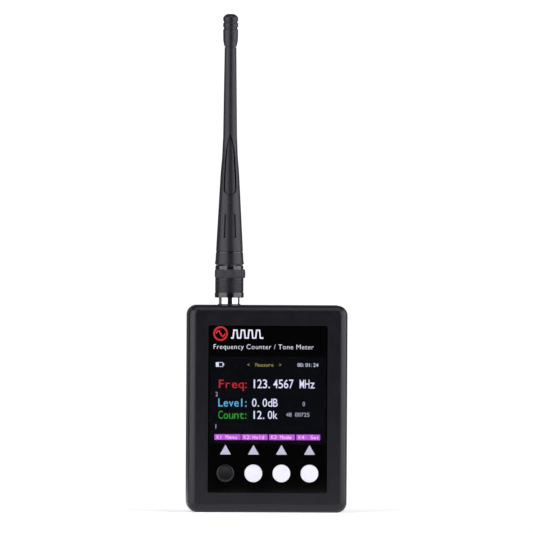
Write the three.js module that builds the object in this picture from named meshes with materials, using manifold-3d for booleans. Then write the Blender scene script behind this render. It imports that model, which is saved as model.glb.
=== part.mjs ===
// Hand-held frequency counter: a two-part moulded case with a colour display and four push buttons,
// and a whip antenna that plugs onto a bayonet jack in the top of the case.
// Millimetres. +X is to the right of the screen, +Y runs from the screen to the back and +Z is up.
// The origin is the middle of the face that the case stands on.

import * as THREE from 'three';
import { mergeVertices } from 'three/addons/utils/BufferGeometryUtils.js';
import Module from 'manifold-3d';

const wasm = await Module();
wasm.setup();

// ---- Driving dimensions -----------------------------------------------------------------------

// Display and the glossy panel over it
const SCREEN_W = 48.96;         // lit area of the display
const SCREEN_H = 36.72;
const PANEL_SIDE = 3.07;        // panel beyond the lit area, at each side
const PANEL_HEAD = 16.2;        // panel above the lit area
const PANEL_FOOT = 24.18;       // panel below the lit area
const PANEL_T = 1.2;
const PANEL_SINK = 0.3;         // panel face below the case face
const PANEL_CORNER_R = 0.8;
const PANEL_CLEAR = 0.2;        // all round the panel in its recess
const TAPE_T = 0.1;
const TAPE_GAP = 0.05;          // each side of the tape
const TAPE_INSET = 0.2;         // tape edge inside the panel edge
const WINDOW_EDGE = 2.27;       // case window beyond the lit area, at each side
const WINDOW_END = 1.89;        // case window beyond the lit area, above and below
const WINDOW_CORNER_R = 0.5;
const GASKET_T = 0.4;
const GASKET_W = 1.4;
const GASKET_LIP = 0.2;         // gasket window beyond the case window
const GLASS_T = 1.3;
const GLASS_EDGE = 4.77;        // display glass beyond the lit area, at each side
const GLASS_END = 2.64;
const GLASS_CORNER_R = 0.6;
const BACKLIGHT_T = 1.4;
const BACKLIGHT_RIM = 0.85;     // backlight tray beyond the glass, at each side
const BACKLIGHT_END = 0.35;
const PAD_T = 2.5;              // foam pad between the display and the board
const PAD_INSET = 10;
const STACK_GAP = 0.1;          // between parts that lie on one another

// Case
const CASE_BORDER = 9.45;       // case round the panel
const CORNER_R = 4.6;
const EDGE_R = 4;               // rounding of the front and back edges
const WALL = 2;
const REAR_WALL = 2.2;
const LEDGE_T = 1;              // ledge that the panel is taped to
const SEAM_GAP = 0.3;
const LIP_T = 1;                // lip of the rear cover inside the front cover
const LIP_REACH = 1.6;
const LIP_CLEAR = 0.25;
const LIP_ROOT = 1.5;
const LIP_LAP = 0.1;            // lip root inside the rear cover's wall
const LIP_JACK_GAP = 1;         // gap in the lip beyond the jack body
const LABEL_W = 46;
const LABEL_H = 26;
const LABEL_UP = 35;            // foot of the label above the foot of the case
const LABEL_T = 0.25;
const LABEL_SINK = 0.35;
const LABEL_CLEAR = 0.3;
const LABEL_CORNER_R = 1.7;

// Case screws and their bosses
const BOSS_R = 3.25;
const BOSS_INSET_X = 5;         // boss centre from the inside of the side wall
const BOSS_INSET_Z = 6.5;       // boss centre from the inside of the end wall
const BOSS_MEET_GAP = 0.3;
const BOARD_BOSS_GAP = 0.05;    // between a boss or a screw head and the board
const BOSS_FRONT_L = 11.3;      // front boss, from the ledge
const CASE_SCREW_R = 1.25;
const CASE_SCREW_HEAD_R = 2.6;
const CASE_SCREW_HEAD_T = 1.6;
const CASE_SCREW_SINK = 1.9;    // head top below the back of the case
const CASE_SCREW_BITE = 7;      // shank inside the front boss
const SCREW_CLEAR = 0.25;
const CROSS_W = 0.6;            // cross recess in a screw head
const CROSS_DEPTH = 0.7;
const CROSS_REACH = 0.62;       // cross arm over head radius
const HEAD_SIDE = 0.6;          // straight side over head thickness

// Board
const BOARD_T = 1.6;
const BOARD_SIDE_GAP = 3;       // board edge from the inside of the side wall
const BOARD_END_GAP = 5;
const BOARD_BOSS_R = 2.5;
const BOARD_SCREW_UP = 13;      // lower board screws from the lower board edge
const BOARD_SCREW_DOWN = 9.5;   // upper board screws from the upper board edge
const BOARD_SCREW_R = 1;
const BOARD_SCREW_HEAD_R = 2.2;
const BOARD_SCREW_HEAD_T = 1.3;
const BOARD_PILOT_FLOOR = 0.9;  // floor of a board boss's hole behind the ledge
const NOTCH_CLEAR = 0.35;       // board corner notch round a case boss

// Push buttons and the switches behind them
const BUTTON_COUNT = 4;
const BUTTON_R = 4.1;
const BUTTON_EDGE = 8.05;       // first button's centre from the side of the panel
const BUTTON_UP = 8.75;         // button centres from the foot of the panel
const BUTTON_PROUD = 1.2;       // button face in front of the panel
const BUTTON_CLEAR = 0.25;
const BUTTON_ROUND = 0.5;
const BUTTON_DISH = 0.15;
const BUTTON_CROWN = 0.05;
const BUTTON_TRAVEL = 0.5;
const FLANGE_OVER = 1.1;        // flange beyond the button's side
const FLANGE_T = 0.9;
const FLANGE_GAP = 0.2;
const SWITCH_W = 6;
const SWITCH_T = 3.4;
const STEM_R = 1.7;
const STEM_CLEAR = 0.2;
const STEM_GAP = 0.3;
const SWITCH_FLOOR = 0.5;       // switch bore beyond twice the travel

// Bayonet jack
const JACK_SIDE = 19.55;        // jack axis from the left side of the case
const JACK_SHELL_R = 4.8;
const JACK_SHELL_WALL = 0.75;
const JACK_PROUD = 12.2;        // top of the shell above the case
const JACK_DEEP = 9;            // foot of the shell below the top of the case
const JACK_BODY_WALL = 2.05;
const JACK_BODY_DEEP = 15;
const JACK_BODY_DOWN = 1;       // top of the body below the inside of the end wall
const JACK_BODY_GAP = 0.2;      // between the body and the board
const REAR_ROOM = 3.2;          // between the jack body and the rear wall
const JACK_FIT = 0.15;
const BUSHING_T = 0.3;
const BUSHING_PROUD = 0.45;
const LUG_R = 0.95;
const LUG_REACH = 0.7;          // lug beyond the shell
const LUG_DOWN = 5.2;           // lug centre below the top of the shell
const CONTACT_R = 0.98;
const CONTACT_TAIL_R = 0.5;
const CONTACT_TAIL = 2;
const CONTACT_UP = 2;           // step of the contact above the case
const CONTACT_DOWN = 1.6;       // top of the contact below the top of the shell
const INSULATOR_DOWN = 1.4;     // top of the insulator below the top of the shell
const INSULATOR_STEP = 0.8;     // shoulder of the insulator below the foot of the ferrule
const TAIL_CLEAR = 0.2;
const PIN_R = 0.675;
const PIN_CLEAR = 0.13;

// Plug and coupling collar
const PLUG_FIT = 0.2;
const FERRULE_WALL = 1.2;
const FERRULE_DOWN = 6.8;       // foot of the ferrule below the top of the jack
const PLUG_STEM_OVER = 0.05;    // stem beyond the ferrule
const RING_GAP = 0.05;
const RING_SLACK = 0.1;         // inside a ring, round what it sits on
const SEAL_T = 0.6;
const PLUG_INSULATOR_UP = 0.6;  // foot of the plug's insulator above the jack's
const PLUG_CAP_L = 6;           // solid end of the plug above its insulator
const PIN_UP = 1.4;             // foot of the pin above the jack's insulator shoulder
const PIN_POINT = 0.35;         // taper of the pin's end, in radius
const PLUG_NECK_R = 1.9;
const PLUG_FLANGE_T = 1;
const PLUG_FLANGE_OVER = 0.75;  // flange beyond the ferrule
const WASHER_T = 0.9;
const COLLAR_FOOT = 3.4;        // collar foot above the case
const COLLAR_FIT = 0.15;
const COLLAR_WALL = 0.8;        // collar wall behind the bayonet grooves
const COLLAR_LIP = 0.14;        // foot lip proud of the skirt
const COLLAR_LIP_L = 2.4;
const COLLAR_BAND_UP = 9.1;     // foot of the grip band above the collar foot
const COLLAR_BAND_L = 4.0;
const COLLAR_BAND_OVER = 0.48;  // mean grip band radius beyond the skirt
const COLLAR_LOBES = 5;
const COLLAR_LOBE_H = 0.35;
const COLLAR_SHOULDER_GAP = 0.1;
const COLLAR_HEAD = 3.5;        // collar above its inner shoulder
const COLLAR_HEAD_CLEAR = 0.25; // round the plug's stem
const COLLAR_BREAK = 0.3;       // broken edge at the foot
const COLLAR_HEAD_ROUND = 0.7;  // loss of radius at the head
const GROOVE_CLEAR = 0.3;
const GROOVE_LAP = 0.4;         // groove cutter inside the bore
const TURN_PER_LIFT = 10;       // degrees of collar turn for each millimetre of lift

// Antenna, with heights above the foot of its sheath
const SHEATH_GAP = 0.44;        // over the collar
const FLARE_STEPS = [[1.7, 0.935], [41, 0.33], [48.5, 0.153], [55.8, 0.054], [59.5, 0]];
const SHEATH_RING_UP = 5.2;     // turned ring groove
const SHEATH_RING_W = 0.9;
const SHEATH_RING_DEEP = 0.3;
const WHIP_R = 3.22;            // at the foot of the whip
const WHIP_TAPER = 0.49;        // loss of radius up the whip
const WHIP_L = 41.3;
const SPIGOT_STEP = 0.38;
const SPIGOT_L = 7.6;
const TIP_GAP = 0.3;
const TIP_OVER = 0.75;          // tip beyond the end of the whip
const TIP_L = 15.15;
const TIP_CLEAR = 0.15;
const TIP_FOOT_OVER = 0.07;     // foot of the tip beyond the end of the whip
const TIP_GROOVE = 0.35;
// The side of the tip: height above its foot, and radius less than its widest
const TIP_SIDE = [
  [1.8, 0.28], [2.8, 0.08],
  [7.9, 0], [8.1, TIP_GROOVE], [8.9, TIP_GROOVE], [9.1, 0],
  [10.8, 0], [11, TIP_GROOVE], [11.7, TIP_GROOVE], [11.9, 0],
  [13.25, 0], [13.95, 0.3], [14.85, 1.4], [TIP_L, 1.9],
];
const CORE_R = 0.8;
const CORE_SUNK = 2;            // core foot below the top of the plug
const CORE_END = 2.5;           // core top below the top of the spigot
const COIL_R = 1.35;
const COIL_WIRE_R = 0.35;
const COIL_TURNS = 8;
const COIL_PITCH = 6;
const COIL_UP = 4;              // coil foot above the top of the plug
const COIL_CLEAR = 0.4;
const COIL_ROOM = 2;            // coil bore above the foot of the whip
const CORE_CLEAR = 0.3;
const PLUG_TAIL = 7;            // plug inside the sheath
const TONGUE_UP = 35;           // raised tongue on the sheath, foot of its round end's centre
const TONGUE_L = 15.5;
const TONGUE_R = 2.95;
const TONGUE_TOP_R = 2.3;
const TONGUE_H = 0.3;
const SLOT_UP = 12.3;
const SLOT_L = 10.9;
const SLOT_W = 0.6;
const SLOT_DEEP = 0.5;
const SLOT_X = 2.43;
const SLOT_SPLAY = 1.8;         // degrees

// Parts on the back of the board
const BATTERY_W = 34;
const BATTERY_H = 50;
const BATTERY_T = 6;
const BATTERY_UP = 18;          // above the inside of the end wall
const BATTERY_PAD_T = 0.5;
const BATTERY_CORNER_R = 1.5;
const BATTERY_EDGE_R = 1;
const BATTERY_PAD_INSET = 4;
const LEAD_R = 0.5;
const LEAD_PITCH = 2;
const SOCKET_X = 14;            // battery socket, right of centre
const SOCKET_UP = 6;            // above the battery
const SOCKET_W = 7.6;
const SOCKET_H = 5.6;
const SOCKET_T = 6;
const SOCKET_WALL = 0.7;
const SOCKET_FLOOR = 2;
const PLUG_CLEAR = 0.2;
const BATTERY_PLUG_PROUD = 1.2; // plug behind its socket
const LEAD_HOLE = 3;
const LEAD_CLEAR = 0.15;
// A lead's route from the battery to the plug: backwards from the middle of the battery, and
// above the battery's end
const LEAD_ROUTE = [[0, 0.3], [0.3, 2.5], [0, 4.8], [-1.6, 6]];
const CHIP_W = 10;
const CHIP_T = 1.4;
const CHIP_X = 6;
const SHIELD_W = 18;
const SHIELD_H = 20;
const SHIELD_T = 3;
const SHIELD_WALL = 0.3;
const SHIELD_DOWN = 4;          // below the jack body
const PRESCALER_W = 7;
const PRESCALER_T = 1.2;
const CRYSTAL_W = 4.6;
const CRYSTAL_L = 11;
const CRYSTAL_T = 3.5;
const CRYSTAL_GAP = 4;          // right of the chip
const RIBBON_W = 14;
const RIBBON_T = 0.15;
const RIBBON_LOOP = 1.05;       // start of the ribbon's bend beyond the backlight tray
const RIBBON_START = 0.25;      // ribbon start beyond the edge of the glass
const RIBBON_BOND = 0.2;        // ribbon in front of the back of the glass
const RIBBON_BACK = 1.4;        // returning ribbon behind the front of the pad
const RIBBON_REACH = 6;         // ribbon end inside the edge of the tray
const RIBBON_SOCKET_W = 4.5;
const RIBBON_SOCKET_T = 2.55;
const RIBBON_SOCKET_EAR = 1.5;  // socket beyond the ribbon, at each end
const RIBBON_SOCKET_LEAD = 2;   // socket beyond the end of the ribbon
const RIBBON_SLOT_DEEP = 2.9;
const RIBBON_SLOT_T = 0.5;
const RIBBON_SLOT_EAR = 0.3;
const USB_UP = 31;
const USB_W = 7.5;
const USB_T = 2.6;
const USB_L = 5.6;
const USB_WALL = 0.3;
const USB_SINK = 0.8;           // mouth below the side of the case
const USB_CLEAR = 0.5;
const USB_TONGUE_T = 0.7;
const USB_TONGUE_SINK = 0.6;    // tongue behind the mouth
const USB_BASE_T = 1.1;

// ---- Sizes and places that follow -------------------------------------------------------------

const PANEL_W = SCREEN_W + 2 * PANEL_SIDE;
const PANEL_H = PANEL_HEAD + SCREEN_H + PANEL_FOOT;
const CASE_W = PANEL_W + 2 * CASE_BORDER;
const CASE_H = PANEL_H + 2 * CASE_BORDER;
const JACK_BODY_W = 2 * (JACK_SHELL_R + JACK_FIT + JACK_BODY_WALL);

const TAPE_ROOM = TAPE_T + 2 * TAPE_GAP;
const LEDGE_BACK_DEEP = PANEL_SINK + PANEL_T + TAPE_ROOM + LEDGE_T;
const DISPLAY_DEEP = GASKET_T + GLASS_T + BACKLIGHT_T + PAD_T + 5 * STACK_GAP;
const BOARD_BACK_DEEP = LEDGE_BACK_DEEP + DISPLAY_DEEP + BOARD_T;
const CASE_D = BOARD_BACK_DEEP + JACK_BODY_GAP + JACK_BODY_W + REAR_ROOM + REAR_WALL;

const FRONT_Y = -CASE_D / 2;
const BACK_Y = CASE_D / 2;
const PANEL_Y = FRONT_Y + PANEL_SINK;
const PANEL_BACK_Y = PANEL_Y + PANEL_T;
const LEDGE_Y = PANEL_BACK_Y + TAPE_ROOM;
const LEDGE_BACK_Y = FRONT_Y + LEDGE_BACK_DEEP;
const GASKET_Y = LEDGE_BACK_Y + STACK_GAP;
const GLASS_Y = GASKET_Y + GASKET_T + STACK_GAP;
const BACKLIGHT_Y = GLASS_Y + GLASS_T + STACK_GAP;
const PAD_Y = BACKLIGHT_Y + BACKLIGHT_T + STACK_GAP;
const BOARD_Y = PAD_Y + PAD_T + STACK_GAP;
const BOARD_BACK_Y = BOARD_Y + BOARD_T;
const REAR_INNER_Y = BACK_Y - REAR_WALL;

const PANEL_Z = CASE_BORDER;
const SCREEN_Z = PANEL_Z + PANEL_FOOT;
const SCREEN_MID_Z = SCREEN_Z + SCREEN_H / 2;
const PANEL_MID_Z = PANEL_Z + PANEL_H / 2;

const INNER_X = CASE_W / 2 - WALL;
const INNER_TOP_Z = CASE_H - WALL;
const BOARD_X = INNER_X - BOARD_SIDE_GAP;
const BOARD_Z = WALL + BOARD_END_GAP;
const BOARD_TOP_Z = INNER_TOP_Z - BOARD_END_GAP;

const JACK_X = -CASE_W / 2 + JACK_SIDE;
const JACK_Y = BOARD_BACK_Y + JACK_BODY_GAP + JACK_BODY_W / 2;
const JACK_BODY_TOP_Z = INNER_TOP_Z - JACK_BODY_DOWN;
const JACK_BODY_Z = CASE_H - JACK_BODY_DEEP;
const JACK_BORE_R = JACK_SHELL_R - JACK_SHELL_WALL;
const JACK_TOP_Z = CASE_H + JACK_PROUD;
const JACK_FOOT_Z = CASE_H - JACK_DEEP;
const BUSHING_R = JACK_SHELL_R + JACK_FIT + BUSHING_T;
const JACK_HOLE_R = BUSHING_R + JACK_FIT;
const LUG_Z = JACK_TOP_Z - LUG_DOWN;
const SEAM_Y = JACK_Y;

const BOSS_X = INNER_X - BOSS_INSET_X;
const BOSS_LOW_Z = WALL + BOSS_INSET_Z;
const BOSS_HIGH_Z = INNER_TOP_Z - BOSS_INSET_Z;
const BOSS_MEET_Y = LEDGE_BACK_Y + BOSS_FRONT_L;
const CASE_SCREW_SEAT_Y = BACK_Y - CASE_SCREW_SINK - CASE_SCREW_HEAD_T;

const FERRULE_R = JACK_BORE_R - PLUG_FIT;
const FERRULE_BORE_R = FERRULE_R - FERRULE_WALL;
const SEAL_Z = JACK_TOP_Z + RING_GAP;
const PLUG_FLANGE_Z = SEAL_Z + SEAL_T + RING_GAP;
const PLUG_FLANGE_R = FERRULE_R + PLUG_FLANGE_OVER;
const PLUG_STEM_R = FERRULE_R + PLUG_STEM_OVER;
const WASHER_Z = PLUG_FLANGE_Z + PLUG_FLANGE_T + COLLAR_SHOULDER_GAP;
const SHOULDER_Z = WASHER_Z + WASHER_T + COLLAR_SHOULDER_GAP;
const COLLAR_Z = CASE_H + COLLAR_FOOT;
const COLLAR_TOP_Z = SHOULDER_Z + COLLAR_HEAD;
const COLLAR_BORE_R = JACK_SHELL_R + COLLAR_FIT;
const GROOVE_R = JACK_SHELL_R + LUG_REACH + GROOVE_CLEAR;
const SKIRT_R = GROOVE_R + COLLAR_WALL;
const COLLAR_LIP_R = SKIRT_R + COLLAR_LIP;
const BAND_R = SKIRT_R + COLLAR_BAND_OVER;

const SHEATH_Z = COLLAR_TOP_Z + SHEATH_GAP;
const SHEATH_R = COLLAR_LIP_R;
const WHIP_Z = SHEATH_Z + FLARE_STEPS[FLARE_STEPS.length - 1][0];
const WHIP_TOP_Z = WHIP_Z + WHIP_L;
const WHIP_TOP_R = WHIP_R - WHIP_TAPER;
const SPIGOT_R = WHIP_TOP_R - SPIGOT_STEP;
const SPIGOT_TOP_Z = WHIP_TOP_Z + SPIGOT_L;
const TIP_Z = WHIP_TOP_Z + TIP_GAP;
const TIP_R = WHIP_TOP_R + TIP_OVER;
const PLUG_TOP_Z = SHEATH_Z + PLUG_TAIL;
const COIL_Z = PLUG_TOP_Z + COIL_UP;
const COIL_BORE_R = COIL_R + COIL_WIRE_R + COIL_CLEAR;
const CORE_Z = PLUG_TOP_Z - CORE_SUNK;
const CORE_TOP_Z = SPIGOT_TOP_Z - CORE_END;

const BUTTON_Z = PANEL_Z + BUTTON_UP;
const BUTTON_PITCH = (PANEL_W - 2 * BUTTON_EDGE) / (BUTTON_COUNT - 1);
const BUTTON_Y = PANEL_Y - BUTTON_PROUD;
const FLANGE_Y = LEDGE_BACK_Y + FLANGE_GAP;
const FLANGE_BACK_Y = FLANGE_Y + FLANGE_T;
const SWITCH_Y = BOARD_Y - STACK_GAP - SWITCH_T;

const BATTERY_Z = WALL + BATTERY_UP;
const BATTERY_TOP_Z = BATTERY_Z + BATTERY_H;
const BATTERY_PAD_Y = REAR_INNER_Y - STACK_GAP - BATTERY_PAD_T;
const BATTERY_Y = BATTERY_PAD_Y - STACK_GAP - BATTERY_T;
const PARTS_Y = BOARD_BACK_Y + STACK_GAP;
const SOCKET_Z = BATTERY_TOP_Z + SOCKET_UP;

// ---- Solids -----------------------------------------------------------------------------------

const ROUND = 28;               // sides of a large round part
const SMALL_ROUND = 12;

// A closed three.js geometry as a solid that can be joined and cut.
function solid(geometry) {
  const bare = geometry.clone();
  bare.deleteAttribute('normal');
  bare.deleteAttribute('uv');
  const merged = mergeVertices(bare, 1e-4);
  const corners = merged.index.array;
  const kept = [];
  for (let i = 0; i < corners.length; i += 3) {
    const [a, b, c] = corners.slice(i, i + 3);
    if (a !== b && b !== c && c !== a) kept.push(a, b, c);
  }
  const vertProperties = merged.attributes.position.array;
  return new wasm.Manifold(new wasm.Mesh({ numProp: 3, vertProperties, triVerts: Uint32Array.from(kept) }));
}

function joined(first, ...others) {
  return others.reduce((whole, part) => whole.add(part), first);
}

function without(first, ...others) {
  return others.reduce((whole, part) => whole.subtract(part), first);
}

function geometryOf(whole) {
  const mesh = whole.getMesh();
  const geometry = new THREE.BufferGeometry();
  geometry.setAttribute('position', new THREE.BufferAttribute(mesh.vertProperties, 3));
  geometry.setIndex(new THREE.BufferAttribute(mesh.triVerts, 1));
  geometry.computeVertexNormals();
  return geometry;
}

// A block between two corners.
function block(x0, x1, y0, y1, z0, z1) {
  const geometry = new THREE.BoxGeometry(x1 - x0, y1 - y0, z1 - z0);
  geometry.translate((x0 + x1) / 2, (y0 + y1) / 2, (z0 + z1) / 2);
  return solid(geometry);
}

// A rectangle with round corners about a point of the X-Z plane.
function roundedRectangle(width, height, radius, x = 0, z = 0) {
  const shape = new THREE.Shape();
  const right = x + width / 2;
  const left = x - width / 2;
  const top = z + height / 2;
  const foot = z - height / 2;
  shape.moveTo(left + radius, foot);
  shape.lineTo(right - radius, foot);
  shape.absarc(right - radius, foot + radius, radius, -Math.PI / 2, 0);
  shape.lineTo(right, top - radius);
  shape.absarc(right - radius, top - radius, radius, 0, Math.PI / 2);
  shape.lineTo(left + radius, top);
  shape.absarc(left + radius, top - radius, radius, Math.PI / 2, Math.PI);
  shape.lineTo(left, foot + radius);
  shape.absarc(left + radius, foot + radius, radius, Math.PI, 1.5 * Math.PI);
  shape.closePath();
  return shape;
}

function circle(x, z, radius) {
  const path = new THREE.Path();
  path.absarc(x, z, radius, 0, 2 * Math.PI);
  return path;
}

// An outline of the X-Z plane made solid from one depth to another, with its ends rounded if asked.
function slab(shape, y0, y1, edge = 0, curveSegments = 2) {
  const rounded = edge > 0;
  const geometry = new THREE.ExtrudeGeometry(shape, {
    depth: y1 - y0 - 2 * edge,
    bevelEnabled: rounded,
    bevelThickness: edge,
    bevelSize: edge,
    bevelOffset: -edge,
    bevelSegments: 3,
    curveSegments,
  });
  geometry.rotateX(Math.PI / 2);
  geometry.translate(0, y1 - edge, 0);
  return solid(geometry);
}

// An outline of the X-Y plane made solid from one height to another.
function plate(shape, z0, z1, curveSegments = 4) {
  const geometry = new THREE.ExtrudeGeometry(shape, { depth: z1 - z0, bevelEnabled: false, curveSegments });
  geometry.translate(0, 0, z0);
  return solid(geometry);
}

// A profile of [radius, place] pairs, turned about a line along Y. It starts and ends on the line.
function turnedAcross(profile, x, z, sides = ROUND) {
  const points = profile.map(([radius, place]) => new THREE.Vector2(radius, place));
  const geometry = new THREE.LatheGeometry(points, sides);
  geometry.translate(x, 0, z);
  return solid(geometry);
}

// A profile of [radius, height] pairs, turned about the jack's upright axis.
function turnedOnJack(profile, sides = ROUND) {
  const points = profile.map(([radius, height]) => new THREE.Vector2(radius, height));
  const geometry = new THREE.LatheGeometry(points, sides);
  geometry.rotateX(Math.PI / 2);
  geometry.translate(JACK_X, JACK_Y, 0);
  return solid(geometry);
}

function ringProfile(inner, outer, z0, z1) {
  return [[inner, z0], [outer, z0], [outer, z1], [inner, z1], [inner, z0]];
}

function rodProfile(radius, z0, z1) {
  return [[0, z0], [radius, z0], [radius, z1], [0, z1]];
}

// A round bar along Y.
function bar(x, z, radius, y0, y1, sides = SMALL_ROUND) {
  return turnedAcross(rodProfile(radius, y0, y1), x, z, sides);
}

// ---- Finishes ---------------------------------------------------------------------------------

function finish(color, roughness, metalness = 0) {
  return new THREE.MeshStandardMaterial({ color, roughness, metalness });
}

const caseBlack = finish(0x1d1c20, 0.45);
const panelBlack = finish(0x0b0b0c, 0.08);
const rubberBlack = finish(0x151517, 0.7);
const buttonBlack = finish(0x19191b, 0.35);
const buttonWhite = finish(0xeeedf3, 0.35);
const glassDark = finish(0x0a0b12, 0.05);
const foamGrey = finish(0x4a4b4f, 0.95);
const tapeWhite = finish(0xd9d9d6, 0.6);
const trayWhite = finish(0xe4e4e0, 0.5);
const boardGreen = finish(0x12502f, 0.4);
const chipBlack = finish(0x222225, 0.5);
const socketCream = finish(0xe6dfca, 0.45);
const filmAmber = finish(0xb9741f, 0.35);
const steelBright = finish(0xc9cacc, 0.25, 1);
const steelBlack = finish(0x26262a, 0.4, 1);
const nickel = finish(0xd8d5cf, 0.18, 1);
const gold = finish(0xd9b45a, 0.25, 1);
const copper = finish(0xb86a3c, 0.35, 1);
const insulatorWhite = finish(0xf2f1ec, 0.5);
const foilSilver = finish(0xb6b7ba, 0.4, 0.6);
const leadRed = finish(0xb5161d, 0.5);
const leadBlack = finish(0x161616, 0.5);
const labelSilver = finish(0x9b9ca1, 0.45);
const antennaBlack = finish(0x242428, 0.42);

const group = new THREE.Group();

function add(name, whole, material) {
  const mesh = new THREE.Mesh(geometryOf(whole), material);
  mesh.name = name;
  group.add(mesh);
}

// ---- Case -------------------------------------------------------------------------------------

const buttonX = [];
for (let i = 0; i < BUTTON_COUNT; i++) {
  buttonX.push((i - (BUTTON_COUNT - 1) / 2) * BUTTON_PITCH);
}

const caseScrewPlaces = [
  [-BOSS_X, BOSS_LOW_Z],
  [BOSS_X, BOSS_LOW_Z],
  [-BOSS_X, BOSS_HIGH_Z],
  [BOSS_X, BOSS_HIGH_Z],
];
const BOARD_SCREW_X = BOARD_X - BOARD_BOSS_R;
const boardScrewPlaces = [
  [-BOARD_SCREW_X, BOARD_Z + BOARD_SCREW_UP],
  [BOARD_SCREW_X, BOARD_Z + BOARD_SCREW_UP],
  [-BOARD_SCREW_X, BOARD_TOP_Z - BOARD_SCREW_DOWN],
  [BOARD_SCREW_X, BOARD_TOP_Z - BOARD_SCREW_DOWN],
];

const windowShape = (margin) => roundedRectangle(
  SCREEN_W + 2 * (WINDOW_EDGE + margin), SCREEN_H + 2 * (WINDOW_END + margin),
  WINDOW_CORNER_R, 0, SCREEN_MID_Z);

function hollowCase() {
  const outside = slab(roundedRectangle(CASE_W, CASE_H, CORNER_R, 0, CASE_H / 2), FRONT_Y, BACK_Y, EDGE_R, 3);
  const insideOutline = roundedRectangle(
    2 * INNER_X, INNER_TOP_Z - WALL, CORNER_R - WALL, 0, CASE_H / 2);
  return without(outside, slab(insideOutline, LEDGE_BACK_Y, REAR_INNER_Y));
}

function beyondSeam(y0, y1) {
  return block(-CASE_W, CASE_W, y0, y1, -CASE_H, 2 * CASE_H);
}

const shell = hollowCase();
const jackHole = turnedOnJack(rodProfile(JACK_HOLE_R, INNER_TOP_Z - 1, CASE_H + 1));

function frontCover() {
  const half = shell.intersect(beyondSeam(-CASE_D, SEAM_Y - SEAM_GAP / 2));
  const sunk = LEDGE_T / 2;
  const bosses = [
    ...caseScrewPlaces.map(([x, z]) => bar(x, z, BOSS_R, LEDGE_BACK_Y - sunk, BOSS_MEET_Y)),
    ...boardScrewPlaces.map(([x, z]) => (
      bar(x, z, BOARD_BOSS_R, LEDGE_BACK_Y - sunk, BOARD_Y - BOARD_BOSS_GAP))),
  ];
  const recess = roundedRectangle(
    PANEL_W + 2 * PANEL_CLEAR, PANEL_H + 2 * PANEL_CLEAR, PANEL_CORNER_R + PANEL_CLEAR, 0, PANEL_MID_Z);
  const pilots = [
    ...caseScrewPlaces.map(([x, z]) => (
      bar(x, z, CASE_SCREW_R + SCREW_CLEAR, BOSS_MEET_Y - CASE_SCREW_BITE - 1, BOSS_MEET_Y + 1))),
    ...boardScrewPlaces.map(([x, z]) => (
      bar(x, z, BOARD_SCREW_R + SCREW_CLEAR, LEDGE_BACK_Y + BOARD_PILOT_FLOOR, BOARD_Y))),
  ];
  const holes = buttonX.map((x) => (
    bar(x, BUTTON_Z, BUTTON_R + BUTTON_CLEAR, FRONT_Y, LEDGE_BACK_Y + 1, 20)));
  const usbMouth = block(
    INNER_X - 1, CASE_W / 2 + 1,
    PARTS_Y - USB_CLEAR, PARTS_Y + USB_T + USB_CLEAR,
    USB_UP - USB_W / 2 - USB_CLEAR, USB_UP + USB_W / 2 + USB_CLEAR);
  return without(
    joined(half, ...bosses),
    slab(recess, FRONT_Y - 1, LEDGE_Y),
    slab(windowShape(0), FRONT_Y, LEDGE_BACK_Y + 1),
    ...pilots, ...holes, usbMouth, jackHole);
}

// The lip stands inside the front cover and closes the seam to light and dust.
function seamLip() {
  const ring = (outset, inset, y0, y1) => {
    const outer = roundedRectangle(
      2 * (INNER_X - outset), INNER_TOP_Z - WALL - 2 * outset, CORNER_R - WALL, 0, CASE_H / 2);
    const inner = roundedRectangle(
      2 * (INNER_X - inset), INNER_TOP_Z - WALL - 2 * inset, CORNER_R - WALL, 0, CASE_H / 2);
    return without(slab(outer, y0, y1), slab(inner, y0 - 1, y1 + 1));
  };
  const inset = LIP_CLEAR + LIP_T;
  const root = SEAM_Y + SEAM_GAP / 2;
  const jackRoom = block(
    JACK_X - JACK_BODY_W / 2 - LIP_JACK_GAP, JACK_X + JACK_BODY_W / 2 + LIP_JACK_GAP,
    -CASE_D, CASE_D, INNER_TOP_Z - 4, INNER_TOP_Z - 0.01);
  return without(
    joined(
      ring(LIP_CLEAR, inset, root - LIP_REACH, root + LIP_ROOT),
      ring(-LIP_LAP, inset, root, root + LIP_ROOT)),
    jackRoom);
}

function rearCover() {
  const half = shell.intersect(beyondSeam(SEAM_Y + SEAM_GAP / 2, CASE_D));
  const bosses = caseScrewPlaces.map(([x, z]) => (
    bar(x, z, BOSS_R, BOSS_MEET_Y + BOSS_MEET_GAP, REAR_INNER_Y + REAR_WALL / 2)));
  const shanks = caseScrewPlaces.map(([x, z]) => (
    bar(x, z, CASE_SCREW_R + SCREW_CLEAR, BOSS_MEET_Y - 1, BACK_Y)));
  const heads = caseScrewPlaces.map(([x, z]) => (
    bar(x, z, CASE_SCREW_HEAD_R + SCREW_CLEAR, CASE_SCREW_SEAT_Y, BACK_Y + 1, 16)));
  const labelRecess = roundedRectangle(
    LABEL_W + 2 * LABEL_CLEAR, LABEL_H + 2 * LABEL_CLEAR,
    LABEL_CORNER_R + LABEL_CLEAR, 0, LABEL_UP + LABEL_H / 2);
  return without(
    joined(half, seamLip(), ...bosses),
    ...shanks, ...heads, slab(labelRecess, BACK_Y - LABEL_SINK, BACK_Y + 1), jackHole);
}

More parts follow.
